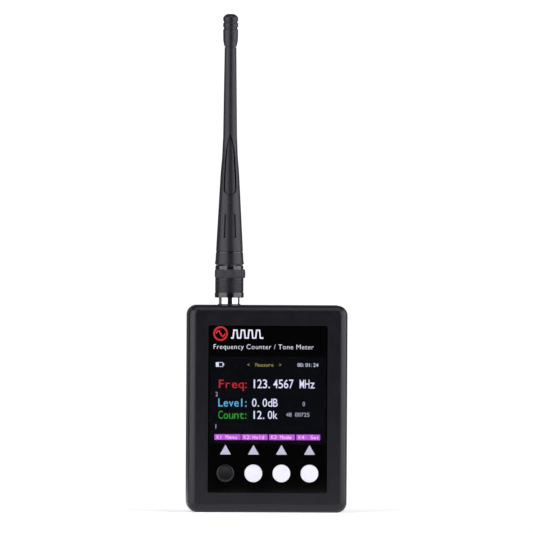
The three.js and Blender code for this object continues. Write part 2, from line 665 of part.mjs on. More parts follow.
// A pan-head screw whose head points to the back.
function screw(x, z, radius, headRadius, headT, seatY, tipY) {
  const turned = turnedAcross([
    [0, tipY],
    [radius, tipY],
    [radius, seatY],
    [headRadius, seatY],
    [headRadius, seatY + HEAD_SIDE * headT],
    [headRadius - (1 - HEAD_SIDE) * headT, seatY + headT],
    [0, seatY + headT],
  ], x, z, SMALL_ROUND);
  const arm = CROSS_REACH * headRadius;
  const y0 = seatY + headT - CROSS_DEPTH;
  const y1 = seatY + headT + 1;
  const half = CROSS_W / 2;
  return without(
    turned,
    joined(
      block(x - arm, x + arm, y0, y1, z - half, z + half),
      block(x - half, x + half, y0, y1, z - arm, z + arm)));
}

add('front_cover', frontCover(), caseBlack);
add('rear_cover', rearCover(), caseBlack);
add('rear_label', slab(
  roundedRectangle(LABEL_W, LABEL_H, LABEL_CORNER_R, 0, LABEL_UP + LABEL_H / 2),
  BACK_Y - LABEL_SINK, BACK_Y - LABEL_SINK + LABEL_T), labelSilver);

caseScrewPlaces.forEach(([x, z], i) => {
  const tipY = BOSS_MEET_Y - CASE_SCREW_BITE;
  add(`case_screw_${i + 1}`, screw(
    x, z, CASE_SCREW_R, CASE_SCREW_HEAD_R, CASE_SCREW_HEAD_T, CASE_SCREW_SEAT_Y, tipY), steelBlack);
});

// ---- Panel and display ------------------------------------------------------------------------

function frontPanel() {
  const shape = roundedRectangle(PANEL_W, PANEL_H, PANEL_CORNER_R, 0, PANEL_MID_Z);
  buttonX.forEach((x) => shape.holes.push(circle(x, BUTTON_Z, BUTTON_R + BUTTON_CLEAR)));
  return slab(shape, PANEL_Y, PANEL_BACK_Y, 0, 10);
}

function panelTape() {
  const shape = roundedRectangle(
    PANEL_W - 2 * TAPE_INSET, PANEL_H - 2 * TAPE_INSET, PANEL_CORNER_R, 0, PANEL_MID_Z);
  buttonX.forEach((x) => shape.holes.push(circle(x, BUTTON_Z, BUTTON_R + 2 * BUTTON_CLEAR)));
  shape.holes.push(windowShape(TAPE_INSET));
  return slab(shape, PANEL_BACK_Y + TAPE_GAP, PANEL_BACK_Y + TAPE_GAP + TAPE_T, 0, 5);
}

function displayGasket() {
  const shape = windowShape(GASKET_LIP + GASKET_W);
  shape.holes.push(windowShape(GASKET_LIP));
  return slab(shape, GASKET_Y, GASKET_Y + GASKET_T);
}

function displayPlate(edge, end, y0, y1) {
  return slab(
    roundedRectangle(SCREEN_W + 2 * edge, SCREEN_H + 2 * end, GLASS_CORNER_R, 0, SCREEN_MID_Z), y0, y1);
}

const TRAY_X = SCREEN_W / 2 + GLASS_EDGE + BACKLIGHT_RIM;

// A flat cable that leaves the right side of the display and folds back to the board.
function lcdRibbon() {
  const near = GLASS_Y + GLASS_T - RIBBON_BOND;
  const far = PAD_Y + RIBBON_BACK;
  const bendX = TRAY_X + RIBBON_LOOP;
  const middle = (near + far) / 2;
  const radius = (far - near) / 2;
  const half = RIBBON_T / 2;
  const startX = SCREEN_W / 2 + GLASS_EDGE + RIBBON_START;
  const endX = TRAY_X - RIBBON_REACH;
  const shape = new THREE.Shape();
  shape.moveTo(startX, near - half);
  shape.lineTo(bendX, near - half);
  shape.absarc(bendX, middle, radius + half, -Math.PI / 2, Math.PI / 2);
  shape.lineTo(endX, far + half);
  shape.lineTo(endX, far - half);
  shape.lineTo(bendX, far - half);
  shape.absarc(bendX, middle, radius - half, Math.PI / 2, -Math.PI / 2, true);
  shape.lineTo(startX, near + half);
  shape.closePath();
  return plate(shape, SCREEN_MID_Z - RIBBON_W / 2, SCREEN_MID_Z + RIBBON_W / 2, 6);
}

function ribbonSocket() {
  const ribbonY = PAD_Y + RIBBON_BACK;
  const x0 = TRAY_X - RIBBON_REACH - RIBBON_SOCKET_LEAD;
  const x1 = x0 + RIBBON_SOCKET_W;
  const y1 = BOARD_Y - STACK_GAP / 2;
  const z0 = SCREEN_MID_Z - RIBBON_W / 2;
  const z1 = SCREEN_MID_Z + RIBBON_W / 2;
  return without(
    block(x0, x1, y1 - RIBBON_SOCKET_T, y1, z0 - RIBBON_SOCKET_EAR, z1 + RIBBON_SOCKET_EAR),
    block(
      x1 - RIBBON_SLOT_DEEP, x1 + 1,
      ribbonY - RIBBON_SLOT_T / 2, ribbonY + RIBBON_SLOT_T / 2,
      z0 - RIBBON_SLOT_EAR, z1 + RIBBON_SLOT_EAR));
}

add('front_panel', frontPanel(), panelBlack);
add('panel_tape', panelTape(), tapeWhite);
add('display_gasket', displayGasket(), foamGrey);
add('lcd_glass', displayPlate(GLASS_EDGE, GLASS_END, GLASS_Y, GLASS_Y + GLASS_T), glassDark);
add('lcd_backlight', displayPlate(
  GLASS_EDGE + BACKLIGHT_RIM, GLASS_END + BACKLIGHT_END, BACKLIGHT_Y, BACKLIGHT_Y + BACKLIGHT_T), trayWhite);
add('display_pad', displayPlate(
  GLASS_EDGE - PAD_INSET, GLASS_END - PAD_INSET / 2, PAD_Y, PAD_Y + PAD_T), foamGrey);
add('lcd_ribbon', lcdRibbon(), filmAmber);
add('ribbon_socket', ribbonSocket(), socketCream);

// ---- Board ------------------------------------------------------------------------------------

function mainBoard() {
  const notchX = BOSS_X - BOSS_R - NOTCH_CLEAR;
  const notchLow = BOSS_LOW_Z + BOSS_R + NOTCH_CLEAR;
  const notchHigh = BOSS_HIGH_Z - BOSS_R - NOTCH_CLEAR;
  const shape = new THREE.Shape();
  shape.moveTo(-notchX, BOARD_Z);
  shape.lineTo(notchX, BOARD_Z);
  shape.lineTo(notchX, notchLow);
  shape.lineTo(BOARD_X, notchLow);
  shape.lineTo(BOARD_X, notchHigh);
  shape.lineTo(notchX, notchHigh);
  shape.lineTo(notchX, BOARD_TOP_Z);
  shape.lineTo(-notchX, BOARD_TOP_Z);
  shape.lineTo(-notchX, notchHigh);
  shape.lineTo(-BOARD_X, notchHigh);
  shape.lineTo(-BOARD_X, notchLow);
  shape.lineTo(-notchX, notchLow);
  shape.closePath();
  boardScrewPlaces.forEach(([x, z]) => shape.holes.push(circle(x, z, BOARD_SCREW_R + SCREW_CLEAR)));
  return slab(shape, BOARD_Y, BOARD_BACK_Y, 0, 4);
}

add('main_board', mainBoard(), boardGreen);

boardScrewPlaces.forEach(([x, z], i) => {
  add(`board_screw_${i + 1}`, screw(
    x, z, BOARD_SCREW_R, BOARD_SCREW_HEAD_R, BOARD_SCREW_HEAD_T,
    BOARD_BACK_Y + BOARD_BOSS_GAP, LEDGE_BACK_Y + BOARD_PILOT_FLOOR + BOARD_BOSS_GAP), steelBright);
});

// ---- Push buttons -----------------------------------------------------------------------------

// A cap with a rounded rim and a slightly hollow face, held behind the panel by its flange.
function buttonCap(x) {
  const flangeR = BUTTON_R + FLANGE_OVER;
  return turnedAcross([
    [0, BUTTON_Y + BUTTON_DISH],
    [BUTTON_R - 2 * BUTTON_ROUND, BUTTON_Y],
    [BUTTON_R - BUTTON_ROUND, BUTTON_Y + BUTTON_CROWN],
    [BUTTON_R - 0.3 * BUTTON_ROUND, BUTTON_Y + 0.3 * BUTTON_ROUND],
    [BUTTON_R, BUTTON_Y + BUTTON_ROUND],
    [BUTTON_R, FLANGE_Y],
    [flangeR, FLANGE_Y],
    [flangeR, FLANGE_BACK_Y],
    [0, FLANGE_BACK_Y],
  ], x, BUTTON_Z, 20);
}

function tactSwitch(x) {
  const half = SWITCH_W / 2;
  const body = block(x - half, x + half, SWITCH_Y, BOARD_Y - STACK_GAP, BUTTON_Z - half, BUTTON_Z + half);
  const depth = 2 * BUTTON_TRAVEL + SWITCH_FLOOR;
  return without(body, bar(x, BUTTON_Z, STEM_R + STEM_CLEAR, SWITCH_Y - 1, SWITCH_Y + depth));
}

buttonX.forEach((x, i) => {
  add(`button_cap_${i + 1}`, buttonCap(x), i === 0 ? buttonBlack : buttonWhite);
  add(`switch_stem_${i + 1}`, bar(
    x, BUTTON_Z, STEM_R, FLANGE_BACK_Y + STEM_GAP, SWITCH_Y + BUTTON_TRAVEL, 12), socketCream);
  add(`tact_switch_${i + 1}`, tactSwitch(x), chipBlack);
});

// ---- Bayonet jack -----------------------------------------------------------------------------

function jackShell() {
  const tube = turnedOnJack(ringProfile(JACK_BORE_R, JACK_SHELL_R, JACK_FOOT_Z, JACK_TOP_Z));
  const lug = new THREE.CylinderGeometry(LUG_R, LUG_R, 2 * (JACK_SHELL_R + LUG_REACH), 12);
  lug.rotateZ(Math.PI / 2);
  lug.translate(JACK_X, JACK_Y, LUG_Z);
  const bore = turnedOnJack(rodProfile(JACK_BORE_R, JACK_FOOT_Z - 1, JACK_TOP_Z + 1));
  return without(tube.add(solid(lug)), bore);
}

const BORE_FLOOR_Z = JACK_FOOT_Z - JACK_FIT;
const CONTACT_STEP_Z = CASE_H + CONTACT_UP;
const CONTACT_TOP_Z = JACK_TOP_Z - CONTACT_DOWN;
const INSULATOR_STEP_Z = JACK_TOP_Z - FERRULE_DOWN - INSULATOR_STEP;
const INSULATOR_TOP_Z = JACK_TOP_Z - INSULATOR_DOWN;
const TAIL_HOLE_R = CONTACT_TAIL_R + TAIL_CLEAR;

function jackBody() {
  const half = JACK_BODY_W / 2;
  const body = block(
    JACK_X - half, JACK_X + half, JACK_Y - half, JACK_Y + half, JACK_BODY_Z, JACK_BODY_TOP_Z);
  return without(
    body,
    turnedOnJack(rodProfile(JACK_SHELL_R + JACK_FIT, BORE_FLOOR_Z, JACK_BODY_TOP_Z + 1)),
    turnedOnJack(rodProfile(TAIL_HOLE_R, JACK_BODY_Z - 1, BORE_FLOOR_Z + 1), SMALL_ROUND));
}

add('jack_body', jackBody(), chipBlack);
add('jack_shell', jackShell(), nickel);
add('jack_bushing', turnedOnJack(ringProfile(
  JACK_SHELL_R + JACK_FIT, BUSHING_R, INNER_TOP_Z, CASE_H + BUSHING_PROUD)), rubberBlack);
add('jack_insulator', turnedOnJack([
  [TAIL_HOLE_R, JACK_FOOT_Z],
  [JACK_BORE_R - JACK_FIT, JACK_FOOT_Z],
  [JACK_BORE_R - JACK_FIT, INSULATOR_STEP_Z],
  [FERRULE_BORE_R - PLUG_FIT, INSULATOR_STEP_Z],
  [FERRULE_BORE_R - PLUG_FIT, INSULATOR_TOP_Z],
  [CONTACT_R + JACK_FIT, INSULATOR_TOP_Z],
  [CONTACT_R + JACK_FIT, CONTACT_STEP_Z - STACK_GAP],
  [TAIL_HOLE_R, CONTACT_STEP_Z - STACK_GAP],
  [TAIL_HOLE_R, JACK_FOOT_Z],
], 20), insulatorWhite);
add('jack_contact', turnedOnJack([
  [0, JACK_BODY_Z - CONTACT_TAIL],
  [CONTACT_TAIL_R, JACK_BODY_Z - CONTACT_TAIL],
  [CONTACT_TAIL_R, CONTACT_STEP_Z],
  [CONTACT_R, CONTACT_STEP_Z],
  [CONTACT_R, CONTACT_TOP_Z],
  [PIN_R + PIN_CLEAR, CONTACT_TOP_Z],
  [PIN_R + PIN_CLEAR, CONTACT_STEP_Z + 1],
  [0, CONTACT_STEP_Z + 1],
], SMALL_ROUND), gold);

// ---- Plug and collar --------------------------------------------------------------------------

const PLUG_INSULATOR_Z = INSULATOR_TOP_Z + PLUG_INSULATOR_UP;
const PLUG_INSULATOR_TOP_Z = PLUG_TOP_Z - PLUG_CAP_L;
const PIN_FOOT_Z = INSULATOR_STEP_Z + PIN_UP;

add('plug_body', turnedOnJack([
  [FERRULE_BORE_R, JACK_TOP_Z - FERRULE_DOWN],
  [FERRULE_R, JACK_TOP_Z - FERRULE_DOWN],
  [FERRULE_R, PLUG_FLANGE_Z],
  [PLUG_FLANGE_R, PLUG_FLANGE_Z],
  [PLUG_FLANGE_R, PLUG_FLANGE_Z + PLUG_FLANGE_T],
  [PLUG_STEM_R, PLUG_FLANGE_Z + PLUG_FLANGE_T],
  [PLUG_STEM_R, PLUG_TOP_Z],
  [PLUG_NECK_R, PLUG_TOP_Z],
  [PLUG_NECK_R, PLUG_INSULATOR_TOP_Z + PLUG_FIT],
  [FERRULE_BORE_R, PLUG_INSULATOR_TOP_Z + PLUG_FIT],
  [FERRULE_BORE_R, JACK_TOP_Z - FERRULE_DOWN],
]), nickel);
add('plug_insulator', turnedOnJack(ringProfile(
  PIN_R + RING_SLACK, FERRULE_BORE_R - JACK_FIT, PLUG_INSULATOR_Z, PLUG_INSULATOR_TOP_Z),
SMALL_ROUND), insulatorWhite);
add('plug_pin', turnedOnJack([
  [0, PIN_FOOT_Z],
  [PIN_R - PIN_POINT, PIN_FOOT_Z],
  [PIN_R, PIN_FOOT_Z + 2 * PIN_POINT],
  [PIN_R, CORE_Z - CORE_CLEAR],
  [0, CORE_Z - CORE_CLEAR],
], SMALL_ROUND), gold);
add('plug_gasket', turnedOnJack(ringProfile(
  FERRULE_R + RING_SLACK, JACK_SHELL_R - RING_GAP, SEAL_Z, SEAL_Z + SEAL_T), 20), rubberBlack);
add('spring_washer', turnedOnJack(ringProfile(
  PLUG_STEM_R + RING_SLACK, COLLAR_BORE_R - JACK_FIT, WASHER_Z, WASHER_Z + WASHER_T), 20), steelBright);

// The path that a jack lug takes through the collar as the collar turns and lifts: a ring-shaped
// sector, as tall as the lug, pushed up in proportion to its angle.
function bayonetGroove(start) {
  const degree = Math.PI / 180;
  const inner = COLLAR_BORE_R - GROOVE_LAP;
  const halfHeight = 1.5 * (LUG_R + GROOVE_CLEAR);
  const endAngle = (LUG_R + GROOVE_CLEAR) / JACK_SHELL_R;
  const exitAngle = -(LUG_Z - COLLAR_Z + LUG_R) * TURN_PER_LIFT * degree - endAngle;
  const sector = new THREE.Shape();
  sector.absarc(0, 0, GROOVE_R, exitAngle, endAngle);
  sector.absarc(0, 0, inner, endAngle, exitAngle, true);
  sector.closePath();
  const geometry = new THREE.ExtrudeGeometry(sector, {
    depth: 2 * halfHeight, bevelEnabled: false, curveSegments: 8,
  });
  geometry.translate(0, 0, LUG_Z - halfHeight);
  const place = geometry.attributes.position;
  for (let i = 0; i < place.count; i++) {
    const angle = Math.atan2(place.getY(i), place.getX(i));
    place.setZ(i, place.getZ(i) + angle / degree / TURN_PER_LIFT);
  }
  geometry.rotateZ(start);
  geometry.translate(JACK_X, JACK_Y, 0);
  return solid(geometry);
}

function gripBand() {
  const steps = 40;
  const shape = new THREE.Shape();
  for (let i = 0; i < steps; i++) {
    const angle = (2 * Math.PI * i) / steps;
    const radius = BAND_R + COLLAR_LOBE_H * Math.cos(COLLAR_LOBES * angle);
    const point = [JACK_X + radius * Math.cos(angle), JACK_Y + radius * Math.sin(angle)];
    if (i === 0) shape.moveTo(...point);
    else shape.lineTo(...point);
  }
  shape.closePath();
  const foot = COLLAR_Z + COLLAR_BAND_UP;
  return plate(shape, foot, foot + COLLAR_BAND_L);
}

function couplingCollar() {
  const bandTop = COLLAR_Z + COLLAR_BAND_UP + COLLAR_BAND_L;
  const outside = turnedOnJack([
    [0, COLLAR_Z],
    [COLLAR_LIP_R - COLLAR_BREAK, COLLAR_Z],
    [COLLAR_LIP_R, COLLAR_Z + COLLAR_BREAK],
    [COLLAR_LIP_R, COLLAR_Z + COLLAR_LIP_L],
    [SKIRT_R, COLLAR_Z + COLLAR_LIP_L],
    [SKIRT_R, bandTop],
    [SKIRT_R - COLLAR_HEAD_ROUND / 2, COLLAR_TOP_Z - COLLAR_BREAK],
    [SKIRT_R - COLLAR_HEAD_ROUND, COLLAR_TOP_Z],
    [0, COLLAR_TOP_Z],
  ]);
  const bore = turnedOnJack([
    [0, COLLAR_Z - 1],
    [COLLAR_BORE_R, COLLAR_Z - 1],
    [COLLAR_BORE_R, SHOULDER_Z],
    [PLUG_STEM_R + COLLAR_HEAD_CLEAR, SHOULDER_Z],
    [PLUG_STEM_R + COLLAR_HEAD_CLEAR, COLLAR_TOP_Z + 1],
    [0, COLLAR_TOP_Z + 1],
  ]);
  return without(joined(outside, gripBand()), bore, bayonetGroove(0), bayonetGroove(Math.PI));
}

add('coupling_collar', couplingCollar(), antennaBlack);

// ---- Antenna ----------------------------------------------------------------------------------

// The outside of the sheath: a flared foot, a straight-sided cone and a thin tapered whip.
function sheathProfile(proud) {
  const flare = FLARE_STEPS.map(([up, share]) => (
    [WHIP_R + share * (SHEATH_R - WHIP_R) + proud, SHEATH_Z + up]));
  return [
    [0, SHEATH_Z],
    [SHEATH_R + proud, SHEATH_Z],
    ...flare,
    [WHIP_TOP_R + proud, WHIP_TOP_Z],
    [0, WHIP_TOP_Z],
  ];
}

// A raised tongue with round ends, which follows the cone of the sheath.
function tongue() {
  const foot = SHEATH_Z + TONGUE_UP;
  const shape = new THREE.Shape();
  shape.absarc(JACK_X, foot, TONGUE_R, Math.PI, 2 * Math.PI);
  shape.lineTo(JACK_X + TONGUE_TOP_R, foot + TONGUE_L);
  shape.absarc(JACK_X, foot + TONGUE_L, TONGUE_TOP_R, 0, Math.PI);
  shape.closePath();
  return slab(shape, JACK_Y - 2 * SHEATH_R, JACK_Y + 2 * SHEATH_R, 0, 5)
    .intersect(turnedOnJack(sheathProfile(TONGUE_H)));
}

function slot(side, face) {
  const outline = roundedRectangle(SLOT_W, SLOT_L, 0.9 * SLOT_W / 2);
  const geometry = new THREE.ExtrudeGeometry(outline, {
    depth: 2 * SHEATH_R, bevelEnabled: false, curveSegments: 1,
  });
  geometry.rotateX(Math.PI / 2);
  geometry.rotateY(side * SLOT_SPLAY * Math.PI / 180);
  geometry.translate(side * SLOT_X, 0, SHEATH_Z + SLOT_UP + SLOT_L / 2);
  const reach = SHEATH_R - SLOT_DEEP - 1;
  geometry.translate(0, face < 0 ? -reach : reach + 2 * SHEATH_R, 0);
  geometry.translate(JACK_X, JACK_Y, 0);
  return solid(geometry);
}

function antennaSheath() {
  const ring = turnedOnJack(ringProfile(
    SHEATH_R - 2 * SHEATH_RING_DEEP, SHEATH_R + 1, SHEATH_Z + SHEATH_RING_UP,
    SHEATH_Z + SHEATH_RING_UP + SHEATH_RING_W));
  const spigot = turnedOnJack(rodProfile(SPIGOT_R, WHIP_TOP_Z - 1, SPIGOT_TOP_Z), 24);
  const bore = turnedOnJack([
    [0, SHEATH_Z - 1],
    [PLUG_STEM_R + CORE_CLEAR, SHEATH_Z - 1],
    [PLUG_STEM_R + CORE_CLEAR, PLUG_TOP_Z + COIL_CLEAR],
    [COIL_BORE_R, PLUG_TOP_Z + COIL_CLEAR],
    [COIL_BORE_R, WHIP_Z + COIL_ROOM],
    [CORE_R + CORE_CLEAR, WHIP_Z + COIL_ROOM],
    [CORE_R + CORE_CLEAR, CORE_TOP_Z + 1],
    [0, CORE_TOP_Z + 1],
  ], 24);
  const slots = [[-1, -1], [1, -1], [-1, 1], [1, 1]].map(([side, face]) => slot(side, face));
  return without(joined(turnedOnJack(sheathProfile(0)), tongue(), spigot), bore, ring, ...slots);
}

function antennaTip() {
  const boreR = SPIGOT_R + TIP_CLEAR;
  const boreTop = SPIGOT_TOP_Z + TIP_CLEAR + TIP_GAP;
  return turnedOnJack([
    [0, boreTop],
    [boreR, boreTop],
    [boreR, TIP_Z],
    [WHIP_TOP_R + TIP_FOOT_OVER, TIP_Z],
    ...TIP_SIDE.map(([up, less]) => [TIP_R - less, TIP_Z + up]),
    [0, TIP_Z + TIP_L],
  ], 20);
}

class Helix extends THREE.Curve {
  getPoint(t, target = new THREE.Vector3()) {
    const angle = 2 * Math.PI * COIL_TURNS * t;
    const height = COIL_Z + COIL_TURNS * COIL_PITCH * t;
    return target.set(JACK_X + COIL_R * Math.cos(angle), JACK_Y + COIL_R * Math.sin(angle), height);
  }
}

// A round wire or lead along a curve.
function wire(curve, radius, curveSegments, steps) {
  const section = new THREE.Shape();
  section.absarc(0, 0, radius, 0, 2 * Math.PI);
  const geometry = new THREE.ExtrudeGeometry(section, {
    extrudePath: curve, steps, curveSegments, bevelEnabled: false,
  });
  return solid(geometry);
}

add('antenna_sheath', antennaSheath(), antennaBlack);
add('antenna_tip', antennaTip(), antennaBlack);
add('antenna_core', turnedOnJack(rodProfile(CORE_R, CORE_Z, CORE_TOP_Z), 12), insulatorWhite);
add('antenna_coil', wire(new Helix(), COIL_WIRE_R, 3, COIL_TURNS * 8), copper);

// ---- Parts on the back of the board -----------------------------------------------------------

// A part that stands on the back of the board.
function onBoard(x, z, width, height, thickness) {
  return block(x - width / 2, x + width / 2, PARTS_Y, PARTS_Y + thickness, z - height / 2, z + height / 2);
}

const SHIELD_Z = JACK_BODY_Z - SHIELD_DOWN - SHIELD_H / 2;
const SHIELD_FACE_Y = PARTS_Y + SHIELD_T - SHIELD_WALL;

function rfShield() {
  const inner = SHIELD_W / 2 - SHIELD_WALL;
  const innerH = SHIELD_H / 2 - SHIELD_WALL;
  return without(
    onBoard(JACK_X, SHIELD_Z, SHIELD_W, SHIELD_H, SHIELD_T),
    block(JACK_X - inner, JACK_X + inner, PARTS_Y - 1, SHIELD_FACE_Y, SHIELD_Z - innerH, SHIELD_Z + innerH));
}

add('rf_shield', rfShield(), steelBright);
add('prescaler_chip', onBoard(JACK_X, SHIELD_Z, PRESCALER_W, PRESCALER_W, PRESCALER_T), chipBlack);
add('main_chip', onBoard(CHIP_X, SCREEN_MID_Z, CHIP_W, CHIP_W, CHIP_T), chipBlack);

const CRYSTAL_X = CHIP_X + CHIP_W / 2 + CRYSTAL_GAP + CRYSTAL_W / 2;
add('crystal', slab(
  roundedRectangle(CRYSTAL_W, CRYSTAL_L, 0.45 * CRYSTAL_W, CRYSTAL_X, SCREEN_MID_Z),
  PARTS_Y, PARTS_Y + CRYSTAL_T), steelBright);

add('battery', slab(
  roundedRectangle(BATTERY_W, BATTERY_H, BATTERY_CORNER_R, 0, BATTERY_Z + BATTERY_H / 2),
  BATTERY_Y, BATTERY_Y + BATTERY_T, BATTERY_EDGE_R), foilSilver);
add('battery_pad', slab(
  roundedRectangle(
    BATTERY_W - 2 * BATTERY_PAD_INSET, BATTERY_H - 2 * BATTERY_PAD_INSET,
    BATTERY_EDGE_R, 0, BATTERY_Z + BATTERY_H / 2),
  BATTERY_PAD_Y, BATTERY_PAD_Y + BATTERY_PAD_T), foamGrey);

const SOCKET_FLOOR_Y = PARTS_Y + SOCKET_FLOOR;
const BATTERY_PLUG_Y = SOCKET_FLOOR_Y + PLUG_CLEAR;
const BATTERY_PLUG_BACK_Y = PARTS_Y + SOCKET_T + BATTERY_PLUG_PROUD;
const BATTERY_PLUG_X = SOCKET_W / 2 - SOCKET_WALL - PLUG_CLEAR;
const BATTERY_PLUG_Z = SOCKET_H / 2 - SOCKET_WALL - PLUG_CLEAR;

function batterySocket() {
  const x = SOCKET_W / 2 - SOCKET_WALL;
  const z = SOCKET_H / 2 - SOCKET_WALL;
  return without(
    onBoard(SOCKET_X, SOCKET_Z, SOCKET_W, SOCKET_H, SOCKET_T),
    block(SOCKET_X - x, SOCKET_X + x, SOCKET_FLOOR_Y, BACK_Y, SOCKET_Z - z, SOCKET_Z + z));
}

function batteryPlug() {
  const body = block(
    SOCKET_X - BATTERY_PLUG_X, SOCKET_X + BATTERY_PLUG_X,
    BATTERY_PLUG_Y, BATTERY_PLUG_BACK_Y,
    SOCKET_Z - BATTERY_PLUG_Z, SOCKET_Z + BATTERY_PLUG_Z);
  const holes = [-1, 1].map((side) => bar(
    SOCKET_X + side * LEAD_PITCH / 2, SOCKET_Z, LEAD_R + LEAD_CLEAR,
    BATTERY_PLUG_BACK_Y - LEAD_HOLE, BACK_Y));
  return without(body, ...holes);
}

// A lead leaves the end of the battery, rises and turns forward into the plug.
function batteryLead(side) {
  const x = SOCKET_X + side * LEAD_PITCH / 2;
  const y = BATTERY_Y + BATTERY_T / 2;
  const curve = new THREE.CatmullRomCurve3([
    ...LEAD_ROUTE.map(([back, up]) => new THREE.Vector3(x, y + back, BATTERY_TOP_Z + up)),
    new THREE.Vector3(x, BATTERY_PLUG_BACK_Y - LEAD_HOLE + LEAD_R, SOCKET_Z),
  ]);
  return wire(curve, LEAD_R, 4, 12);
}

add('battery_socket', batterySocket(), socketCream);
add('battery_plug', batteryPlug(), socketCream);
add('battery_lead_red', batteryLead(-1), leadRed);
add('battery_lead_black', batteryLead(1), leadBlack);

// ---- Charging socket --------------------------------------------------------------------------

const USB_MOUTH_X = CASE_W / 2 - USB_SINK;
const USB_BACK_X = USB_MOUTH_X - USB_L;
const USB_MID_Y = PARTS_Y + USB_T / 2;

function usbBox(inset, x0, x1) {
  return block(
    x0, x1,
    PARTS_Y + inset, PARTS_Y + USB_T - inset,
    USB_UP - USB_W / 2 + inset, USB_UP + USB_W / 2 - inset);
}

function usbTongue() {
  const baseX = USB_BACK_X + STACK_GAP;
  const base = usbBox(USB_WALL + RING_GAP, baseX, baseX + USB_BASE_T);
  const blade = block(
    baseX + USB_BASE_T / 2, USB_MOUTH_X - USB_TONGUE_SINK,
    USB_MID_Y - USB_TONGUE_T / 2, USB_MID_Y + USB_TONGUE_T / 2,
    USB_UP - USB_W / 4, USB_UP + USB_W / 4);
  return base.add(blade);
}

add('usb_shell', without(
  usbBox(0, USB_BACK_X, USB_MOUTH_X), usbBox(USB_WALL, USB_BACK_X - 1, USB_MOUTH_X + 1)), steelBright);
add('usb_tongue', usbTongue(), chipBlack);

export default group;
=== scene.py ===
# %% [markdown]
# # A hand-held frequency counter
# The object is a black moulded case with a colour display, four push buttons and a whip antenna
# that plugs onto a bayonet jack. The solid model comes in as a fixed frame. Each cell below makes
# one visible piece, or one finish, around it.

import math

import bmesh
import bpy
from mathutils import Matrix, Vector


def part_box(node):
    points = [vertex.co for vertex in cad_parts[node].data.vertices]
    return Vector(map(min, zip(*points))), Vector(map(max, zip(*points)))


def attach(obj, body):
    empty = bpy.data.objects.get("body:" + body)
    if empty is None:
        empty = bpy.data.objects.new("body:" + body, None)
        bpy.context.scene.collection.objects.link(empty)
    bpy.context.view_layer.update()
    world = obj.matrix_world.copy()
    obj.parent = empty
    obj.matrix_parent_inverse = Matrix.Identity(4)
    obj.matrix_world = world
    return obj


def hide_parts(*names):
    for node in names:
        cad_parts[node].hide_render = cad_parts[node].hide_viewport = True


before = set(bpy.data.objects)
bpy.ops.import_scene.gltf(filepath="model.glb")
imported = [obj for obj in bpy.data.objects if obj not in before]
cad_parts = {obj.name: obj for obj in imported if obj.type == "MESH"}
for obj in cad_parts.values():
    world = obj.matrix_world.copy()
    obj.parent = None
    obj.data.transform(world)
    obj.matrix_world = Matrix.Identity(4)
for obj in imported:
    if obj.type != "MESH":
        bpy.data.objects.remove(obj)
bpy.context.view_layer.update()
print("nodes in the frame:", len(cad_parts))

# %% [markdown]
# The frame is in metres and the real thing is drawn in millimetres, so the shapes below are made in
# millimetres and shrunk once, when they are finished. Places are read from the frame's own nodes,
# which keeps every piece where the solid model has it.

# %% Sizes from the frame
MM = 0.001


def extent(node):
    """The lowest and highest corners of a node, in millimetres."""
    low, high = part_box(node)
    return Vector(low) / MM, Vector(high) / MM


def middle(node):
    low, high = extent(node)
    return (low + high) / 2


case_low, seam_front = extent("front_cover")
seam_back, case_high = extent("rear_cover")
panel_low, panel_high = extent("front_panel")
jack = middle("jack_shell")
print("case, mm:", [round(v, 2) for v in case_high - case_low])

# %% [markdown]
# A shape starts as a bmesh. These helpers stretch a cube between two corners, round chosen edges,
# and turn a side view about an upright line as a lathe does. The bevel and the spin need a few
# settings that the editor would fill in, so they are written once here.


# %% Blocks and turned shapes
def block(low, high):
    bm = bmesh.new()
    bmesh.ops.create_cube(bm, size=1)
    low, high = Vector(low), Vector(high)
    bmesh.ops.scale(bm, vec=high - low, verts=bm.verts)
    bmesh.ops.translate(bm, vec=(low + high) / 2, verts=bm.verts)
    return bm


def round_edges(bm, chosen, radius, segments):
    edges = [edge for edge in bm.edges if chosen(edge)]
    bmesh.ops.bevel(
        bm, geom=edges, offset=radius, segments=segments, affect="EDGES", profile=0.5, material=-1)
    return bm


def runs_along(axis):
    """Chooses the edges that lie along one axis."""
    def chosen(edge):
        run = edge.verts[0].co - edge.verts[1].co
        return abs(run[axis]) > 0.999 * run.length
    return chosen


def lies_at(axis, *places):
    """Chooses the edges that lie wholly at one of these places on an axis."""
    def chosen(edge):
        return any(all(abs(v.co[axis] - place) < 1e-3 for v in edge.verts) for place in places)
    return chosen


def slab(low, high, corner, steps=8):
    """A block whose four edges that run front to back are rounded."""
    return round_edges(block(low, high), runs_along(1), corner, steps)


def lathe(profile, steps=96, angle=2 * math.pi, rise=0.0, closed=False):
    """Turns (radius, height) points about the upright line through the origin."""
    bm = bmesh.new()
    points = [bm.verts.new((radius, 0, height)) for radius, height in profile]
    ends = zip(points, points[1:] + points[:1] if closed else points[1:])
    made = [bm.edges.new(pair) for pair in ends]
    if angle < 2 * math.pi:
        made.append(bm.faces.new(points))
    bmesh.ops.spin(
        bm, geom=points + made, cent=(0, 0, 0), axis=(0, 0, 1), dvec=(0, 0, rise / steps),
        angle=angle, steps=steps, use_merge=angle >= 2 * math.pi)
    bmesh.ops.remove_doubles(bm, verts=bm.verts, dist=1e-4)
    bmesh.ops.recalc_face_normals(bm, faces=bm.faces)
    if bm.calc_volume(signed=True) < 0:
        bmesh.ops.reverse_faces(bm, faces=bm.faces)
    return bm


def moved(bm, place, turn=None):
    if turn is not None:
        bmesh.ops.rotate(bm, cent=(0, 0, 0), matrix=turn, verts=bm.verts)
    bmesh.ops.translate(bm, vec=place, verts=bm.verts)
    return bm


def on_jack(bm):
    return moved(bm, (jack.x, jack.y, 0))


LIE_BACK = Matrix.Rotation(-math.pi / 2, 3, "X")    # an upright lathe axis laid to point backwards

